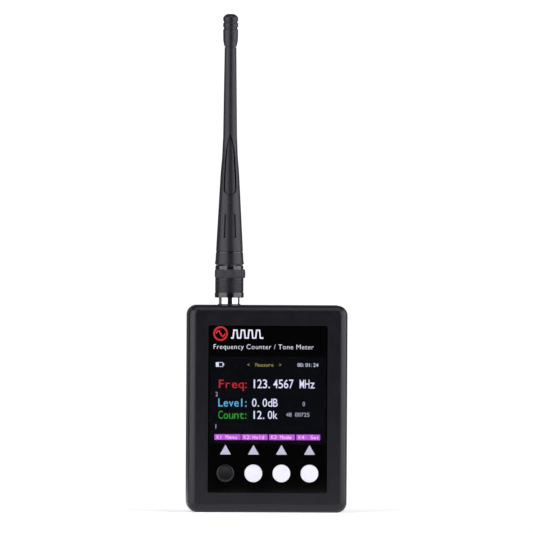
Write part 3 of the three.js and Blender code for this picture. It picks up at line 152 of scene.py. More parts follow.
# %% [markdown]
# Holes and recesses are cut with a Boolean, as a mould core leaves them. The modifier needs real
# objects, so two are made for a moment, and the result comes back as a bmesh. Both are cut into
# triangles first, because a triangle is always flat, and a many-sided face that is a hair out of
# flat can leave gaps. Several cutters that don't touch each other are put together and cut at once.


# %% Cutting and joining
def together(*parts):
    whole = bmesh.new()
    for part in parts:
        mesh = bpy.data.meshes.new("part")
        part.to_mesh(mesh)
        whole.from_mesh(mesh)
        bpy.data.meshes.remove(mesh)
        part.free()
    return whole


def boolean(bm, other, operation):
    holders = []
    for part in (bm, other):
        bmesh.ops.triangulate(part, faces=part.faces[:])
        mesh = bpy.data.meshes.new("part")
        part.to_mesh(mesh)
        part.free()
        holder = bpy.data.objects.new("part", mesh)
        bpy.context.scene.collection.objects.link(holder)
        holders.append(holder)
    cut = holders[0].modifiers.new("cut", "BOOLEAN")
    cut.object, cut.operation, cut.solver = holders[1], operation, "MANIFOLD"
    seen = holders[0].evaluated_get(bpy.context.evaluated_depsgraph_get())
    mesh = bpy.data.meshes.new_from_object(seen)
    out = bmesh.new()
    out.from_mesh(mesh)
    bpy.data.meshes.remove(mesh)
    for holder in holders:
        bpy.data.meshes.remove(holder.data)
    return out


def less(bm, *cutters):
    return boolean(bm, together(*cutters), "DIFFERENCE")


def plus(bm, *others):
    return boolean(bm, together(*others), "UNION")


def whole_flats(bm):
    """Joins the triangles of each flat face again, so that a bevel along its rim runs clean."""
    bmesh.ops.dissolve_limit(
        bm, angle_limit=math.radians(0.05), verts=bm.verts, edges=bm.edges,
        use_dissolve_boundaries=False)
    return bm


# %% [markdown]
# Every finished piece goes through one function. It shrinks the shape to metres, shades it smooth
# with its corners kept, gives it a narrow rounded edge where asked, because no moulded or turned
# edge is truly sharp, hangs it on the body it rides on and hides the solid it stands for.


# %% Finishing a piece
def piece(name, bm, material, body, stands_for=(), edge=0.0, edge_steps=2, crease=30):
    bmesh.ops.scale(bm, vec=(MM, MM, MM), verts=bm.verts)
    mesh = bpy.data.meshes.new(name)
    bm.to_mesh(mesh)
    bm.free()
    mesh.shade_smooth()
    mesh.set_sharp_from_angle(angle=math.radians(crease))
    made = bpy.data.objects.new(name, mesh)
    bpy.context.scene.collection.objects.link(made)
    mesh.materials.append(material)
    if edge:
        soft = made.modifiers.new("edge", "BEVEL")
        soft.width, soft.segments = edge * MM, edge_steps
        soft.limit_method, soft.angle_limit = "ANGLE", math.radians(crease)
    flat = made.modifiers.new("flat_faces", "WEIGHTED_NORMAL")
    flat.keep_sharp = True
    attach(made, body)
    if stands_for:
        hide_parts(*stands_for)
    print(f"{name}: {len(mesh.polygons)} faces")
    return made


# %% [markdown]
# ## Finishes
# A material is a small tree of nodes. One function adds a node, sets it and links it. Colours are
# written as the sRGB codes that a colour picker gives, and one function turns them to the linear
# values that Blender works in.


# %% Nodes and colours
def linear(code):
    shares = [int(code[i:i + 2], 16) / 255 for i in (1, 3, 5)]
    curve = [c / 12.92 if c <= 0.04045 else ((c + 0.055) / 1.055) ** 2.4 for c in shares]
    return (*curve, 1.0)


def add_node(tree, kind, settings=(), links=()):
    node = tree.nodes.new(kind)
    for key, value in dict(settings).items():
        if isinstance(key, int) or key in node.inputs:
            node.inputs[key].default_value = value
        else:
            setattr(node, key, value)
    for key, source in dict(links).items():
        tree.links.new(source, node.inputs[key])
    return node


def blank_material(name):
    material = bpy.data.materials.new(name)
    material.use_nodes = True
    material.node_tree.nodes.clear()
    return material, material.node_tree


# %% [markdown]
# Most surfaces here share one make-up: a base colour that wanders a little over several
# millimetres, a gloss that wanders with it from handling, and a fine grain that catches the light.
# The grain is a noise whose scale is one over its real size in metres. A grain under about 0.2 mm
# would vanish at this distance, so such grains are drawn at 0.25 to 0.4 mm.


# %% A worn surface
MIX_A, MIX_B, MIX_COLOUR = 6, 7, 2    # sockets of a Mix node that mixes colours


def surface(name, dark, light, gloss, grain, depth, stretch=(1, 1, 1), patch=7.0, **shader):
    """Grain, patch and depth are in millimetres, and gloss is the lowest and highest roughness."""
    material, tree = blank_material(name)
    place = add_node(tree, "ShaderNodeTexCoord").outputs["Object"]
    patches = add_node(
        tree, "ShaderNodeTexNoise", {"Scale": 1 / (patch * MM), "Detail": 3.0}, {"Vector": place})
    mixed = add_node(
        tree, "ShaderNodeMix",
        {"data_type": "RGBA", MIX_A: linear(dark), MIX_B: linear(light)},
        {"Factor": patches.outputs["Fac"]})
    rough = add_node(
        tree, "ShaderNodeMapRange",
        {"From Min": 0.3, "From Max": 0.7, "To Min": gloss[0], "To Max": gloss[1]},
        {"Value": patches.outputs["Fac"]})
    drawn = add_node(tree, "ShaderNodeMapping", {"Scale": stretch}, {"Vector": place})
    grains = add_node(
        tree, "ShaderNodeTexNoise", {"Scale": 1 / (grain * MM), "Detail": 2.0},
        {"Vector": drawn.outputs["Vector"]})
    bump = add_node(
        tree, "ShaderNodeBump", {"Strength": 1.0, "Distance": depth * MM},
        {"Height": grains.outputs["Fac"]})
    shaded = add_node(
        tree, "ShaderNodeBsdfPrincipled", {k.replace("_", " "): v for k, v in shader.items()},
        {"Base Color": mixed.outputs[MIX_COLOUR], "Roughness": rough.outputs["Result"],
         "Normal": bump.outputs["Normal"]})
    add_node(tree, "ShaderNodeOutputMaterial", (), {"Surface": shaded.outputs["BSDF"]})
    return material


# %% [markdown]
# The case is black ABS, moulded against a spark-eroded steel tool. The eye sees a near-black with a
# breath of violet, and a fine satin texture that spreads each highlight into a soft band.
# The antenna is a softer thermoplastic elastomer, a little greyer and waxier. The collar is
# glass-filled nylon, harder and shinier. Its grip band is the same nylon, knurled and rougher, and
# its base colour is painted lighter grey as a painted sheen, for the light that the knurl scatters.

# %% Moulded plastics
case_abs = surface(
    "abs_spark_textured", "#0f0e12", "#131217", (0.28, 0.34), grain=0.30, depth=0.010, IOR=1.54,
    Specular_IOR_Level=0.30)
sheath_elastomer = surface(
    "elastomer_moulded", "#141318", "#19181d", (0.36, 0.42), grain=0.35, depth=0.008, IOR=1.50,
    Specular_IOR_Level=0.38)
collar_nylon = surface(
    "nylon_moulded_satin", "#0f0e12", "#131216", (0.34, 0.42), grain=0.40, depth=0.006, IOR=1.53,
    Specular_IOR_Level=0.30)
lip_nylon = surface(
    "nylon_moulded_gloss", "#0c0c0e", "#101012", (0.16, 0.22), grain=0.40, depth=0.003, IOR=1.53,
    Coat_Weight=0.3, Coat_Roughness=0.16)
# The grip band's lighter grey base colour is a painted sheen on the collar's own dark nylon.
grip_nylon_painted_sheen = surface(
    "nylon_knurled_painted_sheen", "#201f24", "#29282d", (0.55, 0.65), grain=0.30, depth=0.03, IOR=1.53,
    Specular_IOR_Level=0.35)
button_white = surface(
    "abs_white_satin", "#d9d9dd", "#e0e0e4", (0.30, 0.38), grain=0.40, depth=0.003, IOR=1.54)
button_black = surface(
    "abs_black_satin", "#0c0c0d", "#101012", (0.24, 0.30), grain=0.40, depth=0.004, IOR=1.54,
    Specular_IOR_Level=0.30)
seal_rubber = surface(
    "nitrile_rubber", "#0d0d0e", "#141415", (0.60, 0.75), grain=0.30, depth=0.02, IOR=1.52)
white_ptfe = surface(
    "ptfe_turned", "#e4e3de", "#f0efea", (0.45, 0.55), grain=0.30, depth=0.004,
    stretch=(1, 1, 5), IOR=1.35)

# %% [markdown]
# The front panel is cast acrylic painted black from behind, so it mirrors like a dark window. Clear
# acrylic covers the display. The display's own glass carries a matt polarising film.

# %% Acrylic and glass
panel_acrylic = surface(
    "acrylic_back_painted", "#020202", "#030303", (0.03, 0.06), grain=4.0, depth=0.002,
    patch=18.0, IOR=1.49)
window_acrylic = surface(
    "acrylic_clear", "#f4f5f7", "#ffffff", (0.0, 0.02), grain=6.0, depth=0.001,
    patch=15.0, IOR=1.49, Transmission_Weight=1.0)
display_film = surface(
    "display_polariser", "#020203", "#030305", (0.14, 0.20), grain=0.50, depth=0.001,
    patch=20.0, IOR=1.50, Specular_IOR_Level=0.25, Emission_Color=linear("#06070c"),
    Emission_Strength=0.9)

# %% [markdown]
# The jack and the plug are brass turned on a lathe and plated with nickel, which gives a warm white
# mirror with faint rings. The contacts are gold plated. Screws are blackened steel.

# %% Metals
nickel = surface(
    "brass_nickel_plated", "#cfccc6", "#dedbd5", (0.08, 0.14), grain=0.30, depth=0.003,
    stretch=(0.1, 0.1, 3), Metallic=1.0)
gold = surface(
    "bronze_gold_plated", "#d2a94e", "#e2bd66", (0.18, 0.26), grain=0.30, depth=0.003,
    stretch=(0.1, 0.1, 3), Metallic=1.0)
black_steel = surface(
    "steel_black_oxide", "#202023", "#2b2b2f", (0.32, 0.45), grain=0.30, depth=0.006, Metallic=1.0)
bright_steel = surface(
    "steel_tin_plated", "#bfc0c2", "#cfd0d2", (0.22, 0.34), grain=0.30, depth=0.004, Metallic=1.0)
copper = surface(
    "copper_enamelled", "#a85a2e", "#bd6f40", (0.28, 0.38), grain=0.30, depth=0.003, Metallic=1.0)

# %% [markdown]
# The marks on the panel and the label are screen-printed ink, slightly matt beside the acrylic.
# The rest are finishes of parts inside the case: laminate, foam, tape, films and leads.

# %% Inks and inner finishes
ink_white = surface("ink_white_printed", "#cfd0da", "#d8d9e3", (0.40, 0.50), grain=0.3, depth=0.002)
ink_grey = surface("ink_grey_printed", "#a9aab8", "#b2b3c1", (0.40, 0.50), grain=0.3, depth=0.002)
ink_red = surface("ink_red_printed", "#a80c0a", "#b4120e", (0.40, 0.50), grain=0.3, depth=0.002)
label_film = surface(
    "polyester_silver_film", "#7d7e84", "#898a90", (0.34, 0.42), grain=0.3, depth=0.004,
    stretch=(0.05, 1, 3), Metallic=0.6)
laminate = surface("glass_epoxy_masked", "#0c4427", "#12553a", (0.30, 0.42), grain=0.6, depth=0.01)
chip_epoxy = surface("epoxy_moulded", "#1b1b1e", "#232326", (0.45, 0.60), grain=0.25, depth=0.008)
cream_nylon = surface("nylon_natural", "#dccfae", "#e8dec2", (0.40, 0.50), grain=0.3, depth=0.004)
grey_foam = surface("foam_closed_cell", "#3b3c40", "#55565a", (0.85, 0.95), grain=0.5, depth=0.10)
white_tape = surface("tape_acrylic_foam", "#cfcfcb", "#deded9", (0.55, 0.70), grain=0.4, depth=0.02)
tray_plastic = surface(
    "polycarbonate_white", "#dcdcd8", "#e8e8e4", (0.40, 0.5), grain=0.3, depth=0.003)
amber_film = surface("polyimide_film", "#a5651a", "#bd7c28", (0.25, 0.40), grain=0.4, depth=0.004)
foil_pouch = surface(
    "aluminium_pouch", "#a3a4a8", "#b9babd", (0.30, 0.45), grain=1.2, depth=0.05, Metallic=0.8)
red_lead = surface("silicone_red", "#a3141a", "#b81b22", (0.45, 0.60), grain=0.3, depth=0.004)
black_lead = surface("silicone_black", "#121213", "#1a1a1c", (0.45, 0.60), grain=0.3, depth=0.004)
print("materials:", len(bpy.data.materials))

# %% [markdown]
# The characters on the display are light, not ink. Each colour is an emitting surface crossed by
# the fine dark grid between the pixels, which is 0.153 mm on this display.

# %% Lit pixels
PIXEL = extent("lcd_glass")[1].x * 2 / 382    # mm, from the width of the display glass
print("pixel, mm:", round(PIXEL, 4))


def lit(name, code, strength=1.0):
    material, tree = blank_material(name)
    place = add_node(tree, "ShaderNodeTexCoord").outputs["Object"]
    rows = add_node(
        tree, "ShaderNodeTexWave",
        {"bands_direction": "Z", "Scale": math.pi / (10 * PIXEL * MM)}, {"Vector": place})
    bright = linear(code)
    dim = (*[0.82 * c for c in bright[:3]], 1.0)
    colour = add_node(
        tree, "ShaderNodeMix", {"data_type": "RGBA", MIX_A: dim, MIX_B: bright},
        {"Factor": rows.outputs["Fac"]})
    shaded = add_node(
        tree, "ShaderNodeBsdfPrincipled",
        {"Base Color": (0, 0, 0, 1), "Roughness": 0.35, "Emission Strength": strength},
        {"Emission Color": colour.outputs[MIX_COLOUR]})
    add_node(tree, "ShaderNodeOutputMaterial", (), {"Surface": shaded.outputs["BSDF"]})
    return material


pixels = {
    "white": lit("pixels_white", "#e3e5ff", 1.15),
    "faint": lit("pixels_faint", "#aeafc6", 1.2),
    "olive": lit("pixels_olive", "#a3a048"),
    "red": lit("pixels_red", "#c2222c"),
    "cyan": lit("pixels_cyan", "#5cc2f5"),
    "green": lit("pixels_green", "#22a42c"),
    "violet": lit("pixels_violet", "#cf5df0"),
    "pink": lit("pixels_pink", "#ffd8ff", 1.3),
}

# %% [markdown]
# ## The case
# The two covers were moulded as open boxes. The outside is one block with round corners and a
# round front and back edge. It is sliced, and the cut is closed again and broken with a small
# bevel. The front half ends at the seam, as it should. The rear half starts where the whole box of
# the rear cover starts, which is at its screw bosses. That is 3.45 mm too far forward, so the two
# halves overlap, and a wide black stripe shows where a thin line should. The right place for the
# rear cut is 0.3 mm behind the front one.

# %% Outside of the case
CORNER, EDGE, WALL, REAR_WALL = 4.6, 4.0, 2.0, 2.2
case_top = case_high.z


def case_half(seam, keep_back):
    bm = slab(case_low, case_high, CORNER, 10)
    round_edges(bm, lies_at(1, case_low.y, case_high.y), EDGE, 10)
    geometry = bm.verts[:] + bm.edges[:] + bm.faces[:]
    cut = bmesh.ops.bisect_plane(
        bm, geom=geometry, plane_co=(0, seam, 0), plane_no=(0, 1, 0),
        clear_inner=keep_back, clear_outer=not keep_back)
    rim = [item for item in cut["geom_cut"] if isinstance(item, bmesh.types.BMEdge)]
    bmesh.ops.contextual_create(bm, geom=rim)
    bmesh.ops.recalc_face_normals(bm, faces=bm.faces)
    return round_edges(bm, lies_at(1, seam), 0.25, 2)


front_half = case_half(seam_front.y, keep_back=False)
rear_half = case_half(seam_back.y, keep_back=True)
print("halves:", len(front_half.faces), len(rear_half.faces))

# %% [markdown]
# Inside, each cover is hollow and carries round bosses for the screws. The front cover has a
# shallow recess for the panel, a window, four button holes and the mouth of the charging socket.

# %% Front cover
PANEL_CLEAR, LEDGE = 0.2, 1.0
SCREW_BOSS_R, BOARD_BOSS_R, SCREW_HOLE_R, BOARD_HOLE_R = 3.25, 2.5, 1.5, 1.25
SCREW_HEAD_HOLE_R, BUTTON_HOLE_R, MASK_HOLE_R = 2.85, 4.35, 4.13
ledge_back = panel_high.y + 0.2 + LEDGE
caps = [middle(f"button_cap_{n}") for n in range(1, 5)]
case_screws = [middle(f"case_screw_{n}") for n in range(1, 5)]
board_screws = [middle(f"board_screw_{n}") for n in range(1, 5)]
board_front = extent("main_board")[0].y
glass_low, glass_high = extent("lcd_glass")
window_x, window_low, window_high = 26.75, glass_low.z + 0.75, glass_high.z - 0.75


def rod(place, radius, y0, y1, steps=32):
    """A round bar that lies front to back."""
    return moved(
        lathe([(0, y0), (radius, y0), (radius, y1), (0, y1)], steps), (place.x, 0, place.z),
        LIE_BACK)


def jack_hole():
    return on_jack(lathe([(0, 92), (5.4, 92), (5.4, 98), (0, 98)], 48))


def rim_at(y):
    """Chooses the sharp edges that lie at one depth."""
    flat = lies_at(1, y)
    return lambda edge: flat(edge) and edge.is_manifold and edge.calc_face_angle() > 1


cavity = slab(
    (case_low.x + WALL, ledge_back, WALL), (case_high.x - WALL, 20, case_top - WALL),
    CORNER - WALL)
front = less(front_half, cavity)
front = plus(
    front,
    *[rod(place, SCREW_BOSS_R, ledge_back - 0.5, ledge_back + 11.3) for place in case_screws],
    *[rod(place, BOARD_BOSS_R, ledge_back - 0.5, board_front - 0.05)
      for place in board_screws])
recess = slab(
    (panel_low.x - PANEL_CLEAR, case_low.y - 1, panel_low.z - PANEL_CLEAR),
    (panel_high.x + PANEL_CLEAR, panel_high.y + 0.2, panel_high.z + PANEL_CLEAR), 1.0)
usb_low, usb_high = extent("usb_shell")
usb_mouth = round_edges(
    block((34, usb_low.y - 0.5, usb_low.z - 0.5), (38, usb_high.y + 0.5, usb_high.z + 0.5)),
    runs_along(0), 1.2, 5)
front = less(
    front, recess, usb_mouth, jack_hole(),
    *[rod(place, SCREW_HOLE_R, ledge_back + 3.3, ledge_back + 13) for place in case_screws],
    *[rod(place, BOARD_HOLE_R, ledge_back + 0.9, board_front + 1) for place in board_screws])
front = less(
    front,
    slab((-window_x, -14, window_low), (window_x, -11, window_high), 0.5, 4),
    *[rod(place, BUTTON_HOLE_R, -14, -11.5, 48) for place in caps])
print("front cover:", len(front.faces), "faces before its mouth is broken")

# %% [markdown]
# A bevel on the rim of the recess stands for the small radius that a mould tool leaves there.

# %% Front cover, finished
round_edges(whole_flats(front), rim_at(case_low.y), 0.18, 2)
piece("front_cover_moulding", front, case_abs, "case", ["front_cover"])

# %% [markdown]
# The rear cover has a lip that stands inside the front cover and keeps light and dust out of the
# seam. Four deep holes take the screws, and a shallow recess takes the label.

# %% Rear cover
inner_back = case_high.y - REAR_WALL
rear = less(rear_half, slab(
    (case_low.x + WALL, 0, WALL), (case_high.x - WALL, inner_back, case_top - WALL),
    CORNER - WALL))


def lip_slab(inset, y0, y1):
    return slab(
        (case_low.x + WALL + inset, y0, WALL + inset),
        (case_high.x - WALL - inset, y1, case_top - WALL - inset), CORNER - WALL)


lip = plus(
    lip_slab(0.25, seam_back.y - 1.6, seam_back.y + 1.5),
    lip_slab(-0.1, seam_back.y + 0.01, seam_back.y + 1.5))
lip = less(lip, lip_slab(1.25, -10, 20))
jack_room = block((jack.x - 8, -5, 90), (jack.x + 8, 14, case_top - WALL - 0.01))
rear = plus(rear, less(lip, jack_room))
boss_front = ledge_back + 11.6
rear = plus(rear, *[rod(place, SCREW_BOSS_R, boss_front, inner_back + 1) for place in case_screws])
rear = less(rear, *[rod(place, SCREW_HOLE_R, boss_front - 1, 14) for place in case_screws])
label_low, label_high = extent("rear_label")
rear = less(
    rear, jack_hole(),
    slab(label_low - Vector((0.3, 0, 0.3)), label_high + Vector((0.3, 2, 0.3)), 2.0),
    *[rod(place, SCREW_HEAD_HOLE_R, 11.5, 16, 48) for place in case_screws])
round_edges(whole_flats(rear), rim_at(case_high.y), 0.15, 2)
piece("rear_cover_moulding", rear, case_abs, "case", ["rear_cover"])

# %% [markdown]
# The screws are pan heads with a cross recess. Each is turned, and the cross is cut with two bars
# whose ends lean in, as the driver's flanks do.

# %% Case screws
def cross(place, y0, y1, reach, width):
    bars = []
    for turned in (0, math.pi / 2):
        bar = block((-reach, y0, -width / 2), (reach, y1, width / 2))
        foot = [v for v in bar.verts if v.co.y < (y0 + y1) / 2]
        bmesh.ops.scale(bar, vec=(0.35, 1, 0.7), verts=foot)
        bars.append(moved(
            bar, (place.x, 0, place.z), Matrix.Rotation(turned + math.radians(20), 3, "Y")))
    return plus(*bars)


for n, place in enumerate(case_screws, 1):
    low, high = extent(f"case_screw_{n}")
    head = moved(lathe([
        (0, low.y), (1.05, low.y), (1.25, low.y + 0.4), (1.25, high.y - 1.6), (2.6, high.y - 1.6),
        (2.6, high.y - 0.75), (2.3, high.y - 0.35), (1.7, high.y - 0.1), (0, high.y)], 40),
        (place.x, 0, place.z), LIE_BACK)
    head = less(head, cross(place, high.y - 0.9, high.y + 0.3, 1.6, 0.6))
    piece(f"case_screw_fine_{n}", head, black_steel, "case", [f"case_screw_{n}"])

# %% [markdown]
# ## The panel
# The panel is one sheet in the real thing. Here the black part and the clear window are two pieces
# that meet in one plane, because each needs its own finish. Both have a polished edge.

# %% Panel and window
PANE_CORNER = 0.6
pane_x, pane_low, pane_high = 26.7, window_low + 0.05, window_high - 0.05
mask = slab(panel_low, panel_high, 0.8)
mask = less(
    mask, slab((-pane_x, -16, pane_low), (pane_x, -12, pane_high), PANE_CORNER, 4),
    *[rod(place, MASK_HOLE_R, -16, -12, 64) for place in caps])
piece("panel_mask", mask, panel_acrylic, "case", ["front_panel"], edge=0.05)
pane = slab(
    (-pane_x + 0.01, panel_low.y, pane_low + 0.01), (pane_x - 0.01, panel_high.y, pane_high - 0.01),
    PANE_CORNER, 4)
piece("panel_window", pane, window_acrylic, "case")

# %% [markdown]
# Behind the window lies the display: a glass plate with a matt film that glows very slightly, as a
# backlit display does even where its pixels are dark.

# %% Display
display = slab(glass_low, glass_high, 0.6, 4)
piece(
    "display_plate", display, display_film, "case", ["lcd_glass"], edge=0.1)

# %% [markdown]
# Lettering is made with Blender's own font. Each character is a curve object that is made a mesh
# at once, turned to face forwards and fitted to its cell, since this display writes every
# character in a cell of the same width. The strokes are thickened with the curve's offset.

# %% Characters
FACE_FORWARD = Matrix.Rotation(math.pi / 2, 4, "X")


def glyph(text, bold=0.0, spacing=1.0):
    """One word or character as a mesh, with its left end and its foot at the origin."""
    curve = bpy.data.curves.new("glyph", "FONT")
    curve.body, curve.offset, curve.extrude = text, bold, 0.01
    curve.resolution_u, curve.space_character = 3, spacing
    holder = bpy.data.objects.new("glyph", curve)
    bm = bmesh.new()
    bm.from_mesh(holder.to_mesh())
    holder.to_mesh_clear()
    bpy.data.curves.remove(curve)
    bmesh.ops.remove_doubles(bm, verts=bm.verts, dist=1e-5)
    bmesh.ops.transform(bm, matrix=FACE_FORWARD, verts=bm.verts)
    return bm


def span(bm, axis):
    places = [v.co[axis] for v in bm.verts]
    return min(places), max(places)


measured = glyph("H")
CAP_HEIGHT = span(measured, 2)[1]    # of the font at size 1
measured.free()
print("cap height of the font:", round(CAP_HEIGHT, 3))


def stretched(bm, wide, tall, thick):
    bmesh.ops.scale(bm, vec=(wide, thick, tall), verts=bm.verts)
    return bm


# %% [markdown]
# The display is 320 by 240 pixels, and its rows are laid out in those. A narrow mark such as a
# point keeps its width and stands at the left of its cell.

# %% Rows of the display
SCREEN_LEFT, SCREEN_TOP = -160 * PIXEL, (glass_low.z + glass_high.z) / 2 + 120 * PIXEL
INK_FRONT = glass_low.y - 0.04
NARROW = ".:',|"


def row(name, text, colour, left, top, foot, pitch, bold=0.004, proud=0.0):
    """A row of characters whose capitals reach from one pixel row to another."""
    tall = (foot - top) * PIXEL / CAP_HEIGHT
    cells = []
    for n, letter in enumerate(text):
        if letter == " ":
            continue
        bm = glyph(letter, bold)
        x0, x1 = span(bm, 0)
        room = (pitch - max(1.2, 0.14 * pitch)) * PIXEL
        wide = tall if letter in NARROW else min(tall * 1.1, room / (x1 - x0))
        if letter in NARROW:
            start = 0.14 * pitch * PIXEL
        else:
            start = (pitch * PIXEL - wide * (x1 - x0)) / 2
        x = SCREEN_LEFT + (left + n * pitch) * PIXEL + start - wide * x0
        stretched(bm, wide, tall, 1.5)
        cells.append(moved(bm, (x, INK_FRONT - proud, SCREEN_TOP - foot * PIXEL)))
    return piece(name, together(*cells), pixels[colour], "case")


def bar(x0, x1, top, foot):
    return block(
        (SCREEN_LEFT + x0 * PIXEL, INK_FRONT - 0.015, SCREEN_TOP - foot * PIXEL),
        (SCREEN_LEFT + x1 * PIXEL, INK_FRONT + 0.015, SCREEN_TOP - top * PIXEL))


row("row_mode", "<  Measure  >", "olive", 98, 7, 18, 8, 0.0)
row("row_clock", "00:01:24", "white", 250, 7, 18, 8, 0.0)
row("row_frequency_label", "Freq", "red", 10, 58, 83, 20)
row("row_frequency_colon", ":", "red", 90, 58, 83, 16)
row("row_frequency", "123.4567 MHz", "white", 112, 57, 83, 16)
row("row_level_label", "Level:", "cyan", 10, 115, 139, 16)
row("row_level", "0.0dB", "white", 112, 115, 139, 16)
row("row_count_label", "Count:", "green", 10, 152, 176, 16)
row("row_count", "12.0k", "white", 112, 152, 176, 16)
row("row_small_upper", "2", "faint", 2, 95, 108, 8, 0.0)
row("row_small_right", "0", "faint", 266, 124, 137, 8, 0.0)
row("row_small_lower", "48 00725", "faint", 216, 157, 169, 9, 0.0)
row("row_small_foot", "1", "faint", 0, 193, 206, 8, 0.0)

# %% [markdown]
# Four violet bars name what the buttons below them do, and a small battery shows how full it is.

# %% Soft keys and battery sign
KEYS = [(0, 79, "K1 Menu"), (82, 161, "K2:Hold"), (165, 244, "K3 Mode"), (248, 320, "K4: Set")]
bars = [bar(x0, x1, 223, 240) for x0, x1, _ in KEYS]
piece("soft_key_bars", together(*bars), pixels["violet"], "case")
for n, (x0, x1, text) in enumerate(KEYS, 1):
    row(f"soft_key_text_{n}", text, "pink", x0 + 6, 226, 237, 9, 0.0, proud=0.03)
sign = [
    bar(3, 12, 5, 19), bar(12, 25, 5, 6.6), bar(12, 25, 17.4, 19), bar(23.4, 25, 6.6, 17.4),
    bar(25, 28, 9, 15)]
piece("battery_sign", together(*sign), pixels["white"], "case")

# %% [markdown]
# Ink on the panel stands a few hundredths of a millimetre proud. The words are generic, the arrows
# point from each button to its soft key, and the sign is a ring round a wave, drawn as strokes.

# %% Printing on the panel
PRINT_Y = panel_low.y - 0.012


def printed(name, bm, material, thickness=0.03):
    """Flattens a shape onto the panel's face."""
    low, high = span(bm, 1)
    bmesh.ops.translate(bm, vec=(0, -(low + high) / 2, 0), verts=bm.verts)
    bmesh.ops.scale(bm, vec=(1, thickness / (high - low), 1), verts=bm.verts)
    bmesh.ops.translate(bm, vec=(0, PRINT_Y, 0), verts=bm.verts)
    return piece(name, bm, material, "case")


words = glyph("Frequency Counter / Tone Meter", -0.008, 1.08)
x0, x1 = span(words, 0)
words_wide, words_tall = 46.4 / (x1 - x0), 2.2 / CAP_HEIGHT
stretched(words, words_wide, words_tall, 1)
printed("print_words", moved(words, (-25.2 - x0 * words_wide, 0, 75.75)), ink_white)

arrows = []
for place in caps:
    arrow = bmesh.new()
    bmesh.ops.create_circle(arrow, cap_ends=True, segments=3, radius=3.0)
    bmesh.ops.solidify(arrow, geom=arrow.faces[:], thickness=0.1)
    bmesh.ops.transform(arrow, matrix=FACE_FORWARD, verts=arrow.verts)
    stretched(arrow, 5.1 / (span(arrow, 0)[1] - span(arrow, 0)[0]),
              4.5 / (span(arrow, 2)[1] - span(arrow, 2)[0]), 1)
    arrows.append(moved(arrow, (place.x, 0, 26.9 - span(arrow, 2)[0])))
printed("print_arrows", together(*arrows), ink_grey)


# %% [markdown]
# A stroke is a curve with a round section, made a mesh and then flattened like the rest of the ink.

# %% Sign on the panel
def stroke(points, width, cyclic=False):
    curve = bpy.data.curves.new("stroke", "CURVE")
    curve.dimensions, curve.bevel_depth, curve.bevel_resolution = "3D", width / 2, 2
    curve.use_fill_caps = True
    line = curve.splines.new("POLY")
    line.points.add(len(points) - 1)
    for point, (x, z) in zip(line.points, points):
        point.co = (x, 0, z, 1)
    line.use_cyclic_u = cyclic
    holder = bpy.data.objects.new("stroke", curve)
    bm = bmesh.new()
    bm.from_mesh(holder.to_mesh())
    holder.to_mesh_clear()
    bpy.data.curves.remove(curve)
    bmesh.ops.remove_doubles(bm, verts=bm.verts, dist=1e-5)
    return bm


RING = (-22.0, 82.9, 3.0)
turn = [2 * math.pi * n / 40 for n in range(40)]
ring = [(RING[0] + RING[2] * math.cos(a), RING[1] + RING[2] * math.sin(a)) for a in turn]
wave = [(RING[0] - 2.1 + 4.2 * n / 24, RING[1] + 1.35 * math.sin(2 * math.pi * n / 24))
        for n in range(25)]
printed("print_ring", together(stroke(ring, 0.85, True), stroke(wave, 0.75)), ink_red)
pulses = [(-17.2, 80.9)]
for n in range(4):
    x = -16.2 + 3.5 * n
    pulses += [(x, 80.9), (x + 0.35, 84.5), (x + 1.75, 84.5), (x + 2.1, 80.9)]
pulses.append((-2.2, 80.9))
printed("print_pulses", stroke(pulses, 0.85), ink_white)

# %% [markdown]
# ## The push buttons
# A button is a round cap with a rounded rim and a face that is dished a little, so a fingertip
# finds its middle. A hidden flange behind the panel keeps it in. One cap is black and three white.

# %% Button caps
for n, place in enumerate(caps, 1):
    low, high = extent(f"button_cap_{n}")
    y = low.y
    cap = lathe([
        (0, y + 0.14), (1.6, y + 0.11), (2.6, y + 0.05), (3.2, y), (3.55, y + 0.03),
        (3.85, y + 0.14), (4.02, y + 0.31), (4.1, y + 0.55), (4.1, high.y - 0.9),
        (5.2, high.y - 0.9), (5.2, high.y), (0, high.y)], 64)
    piece(
        f"button_cap_fine_{n}", moved(cap, (place.x, 0, place.z), LIE_BACK),
        button_black if n == 1 else button_white, f"button_{n}",
        [f"button_cap_{n}"], crease=50)

# %% [markdown]
# ## The jack
# The jack's shell is a thin plated tube with two round lugs, which the collar's grooves catch. In
# its bore stand a white insulator and a split gold socket. A rubber ring closes the case round it.

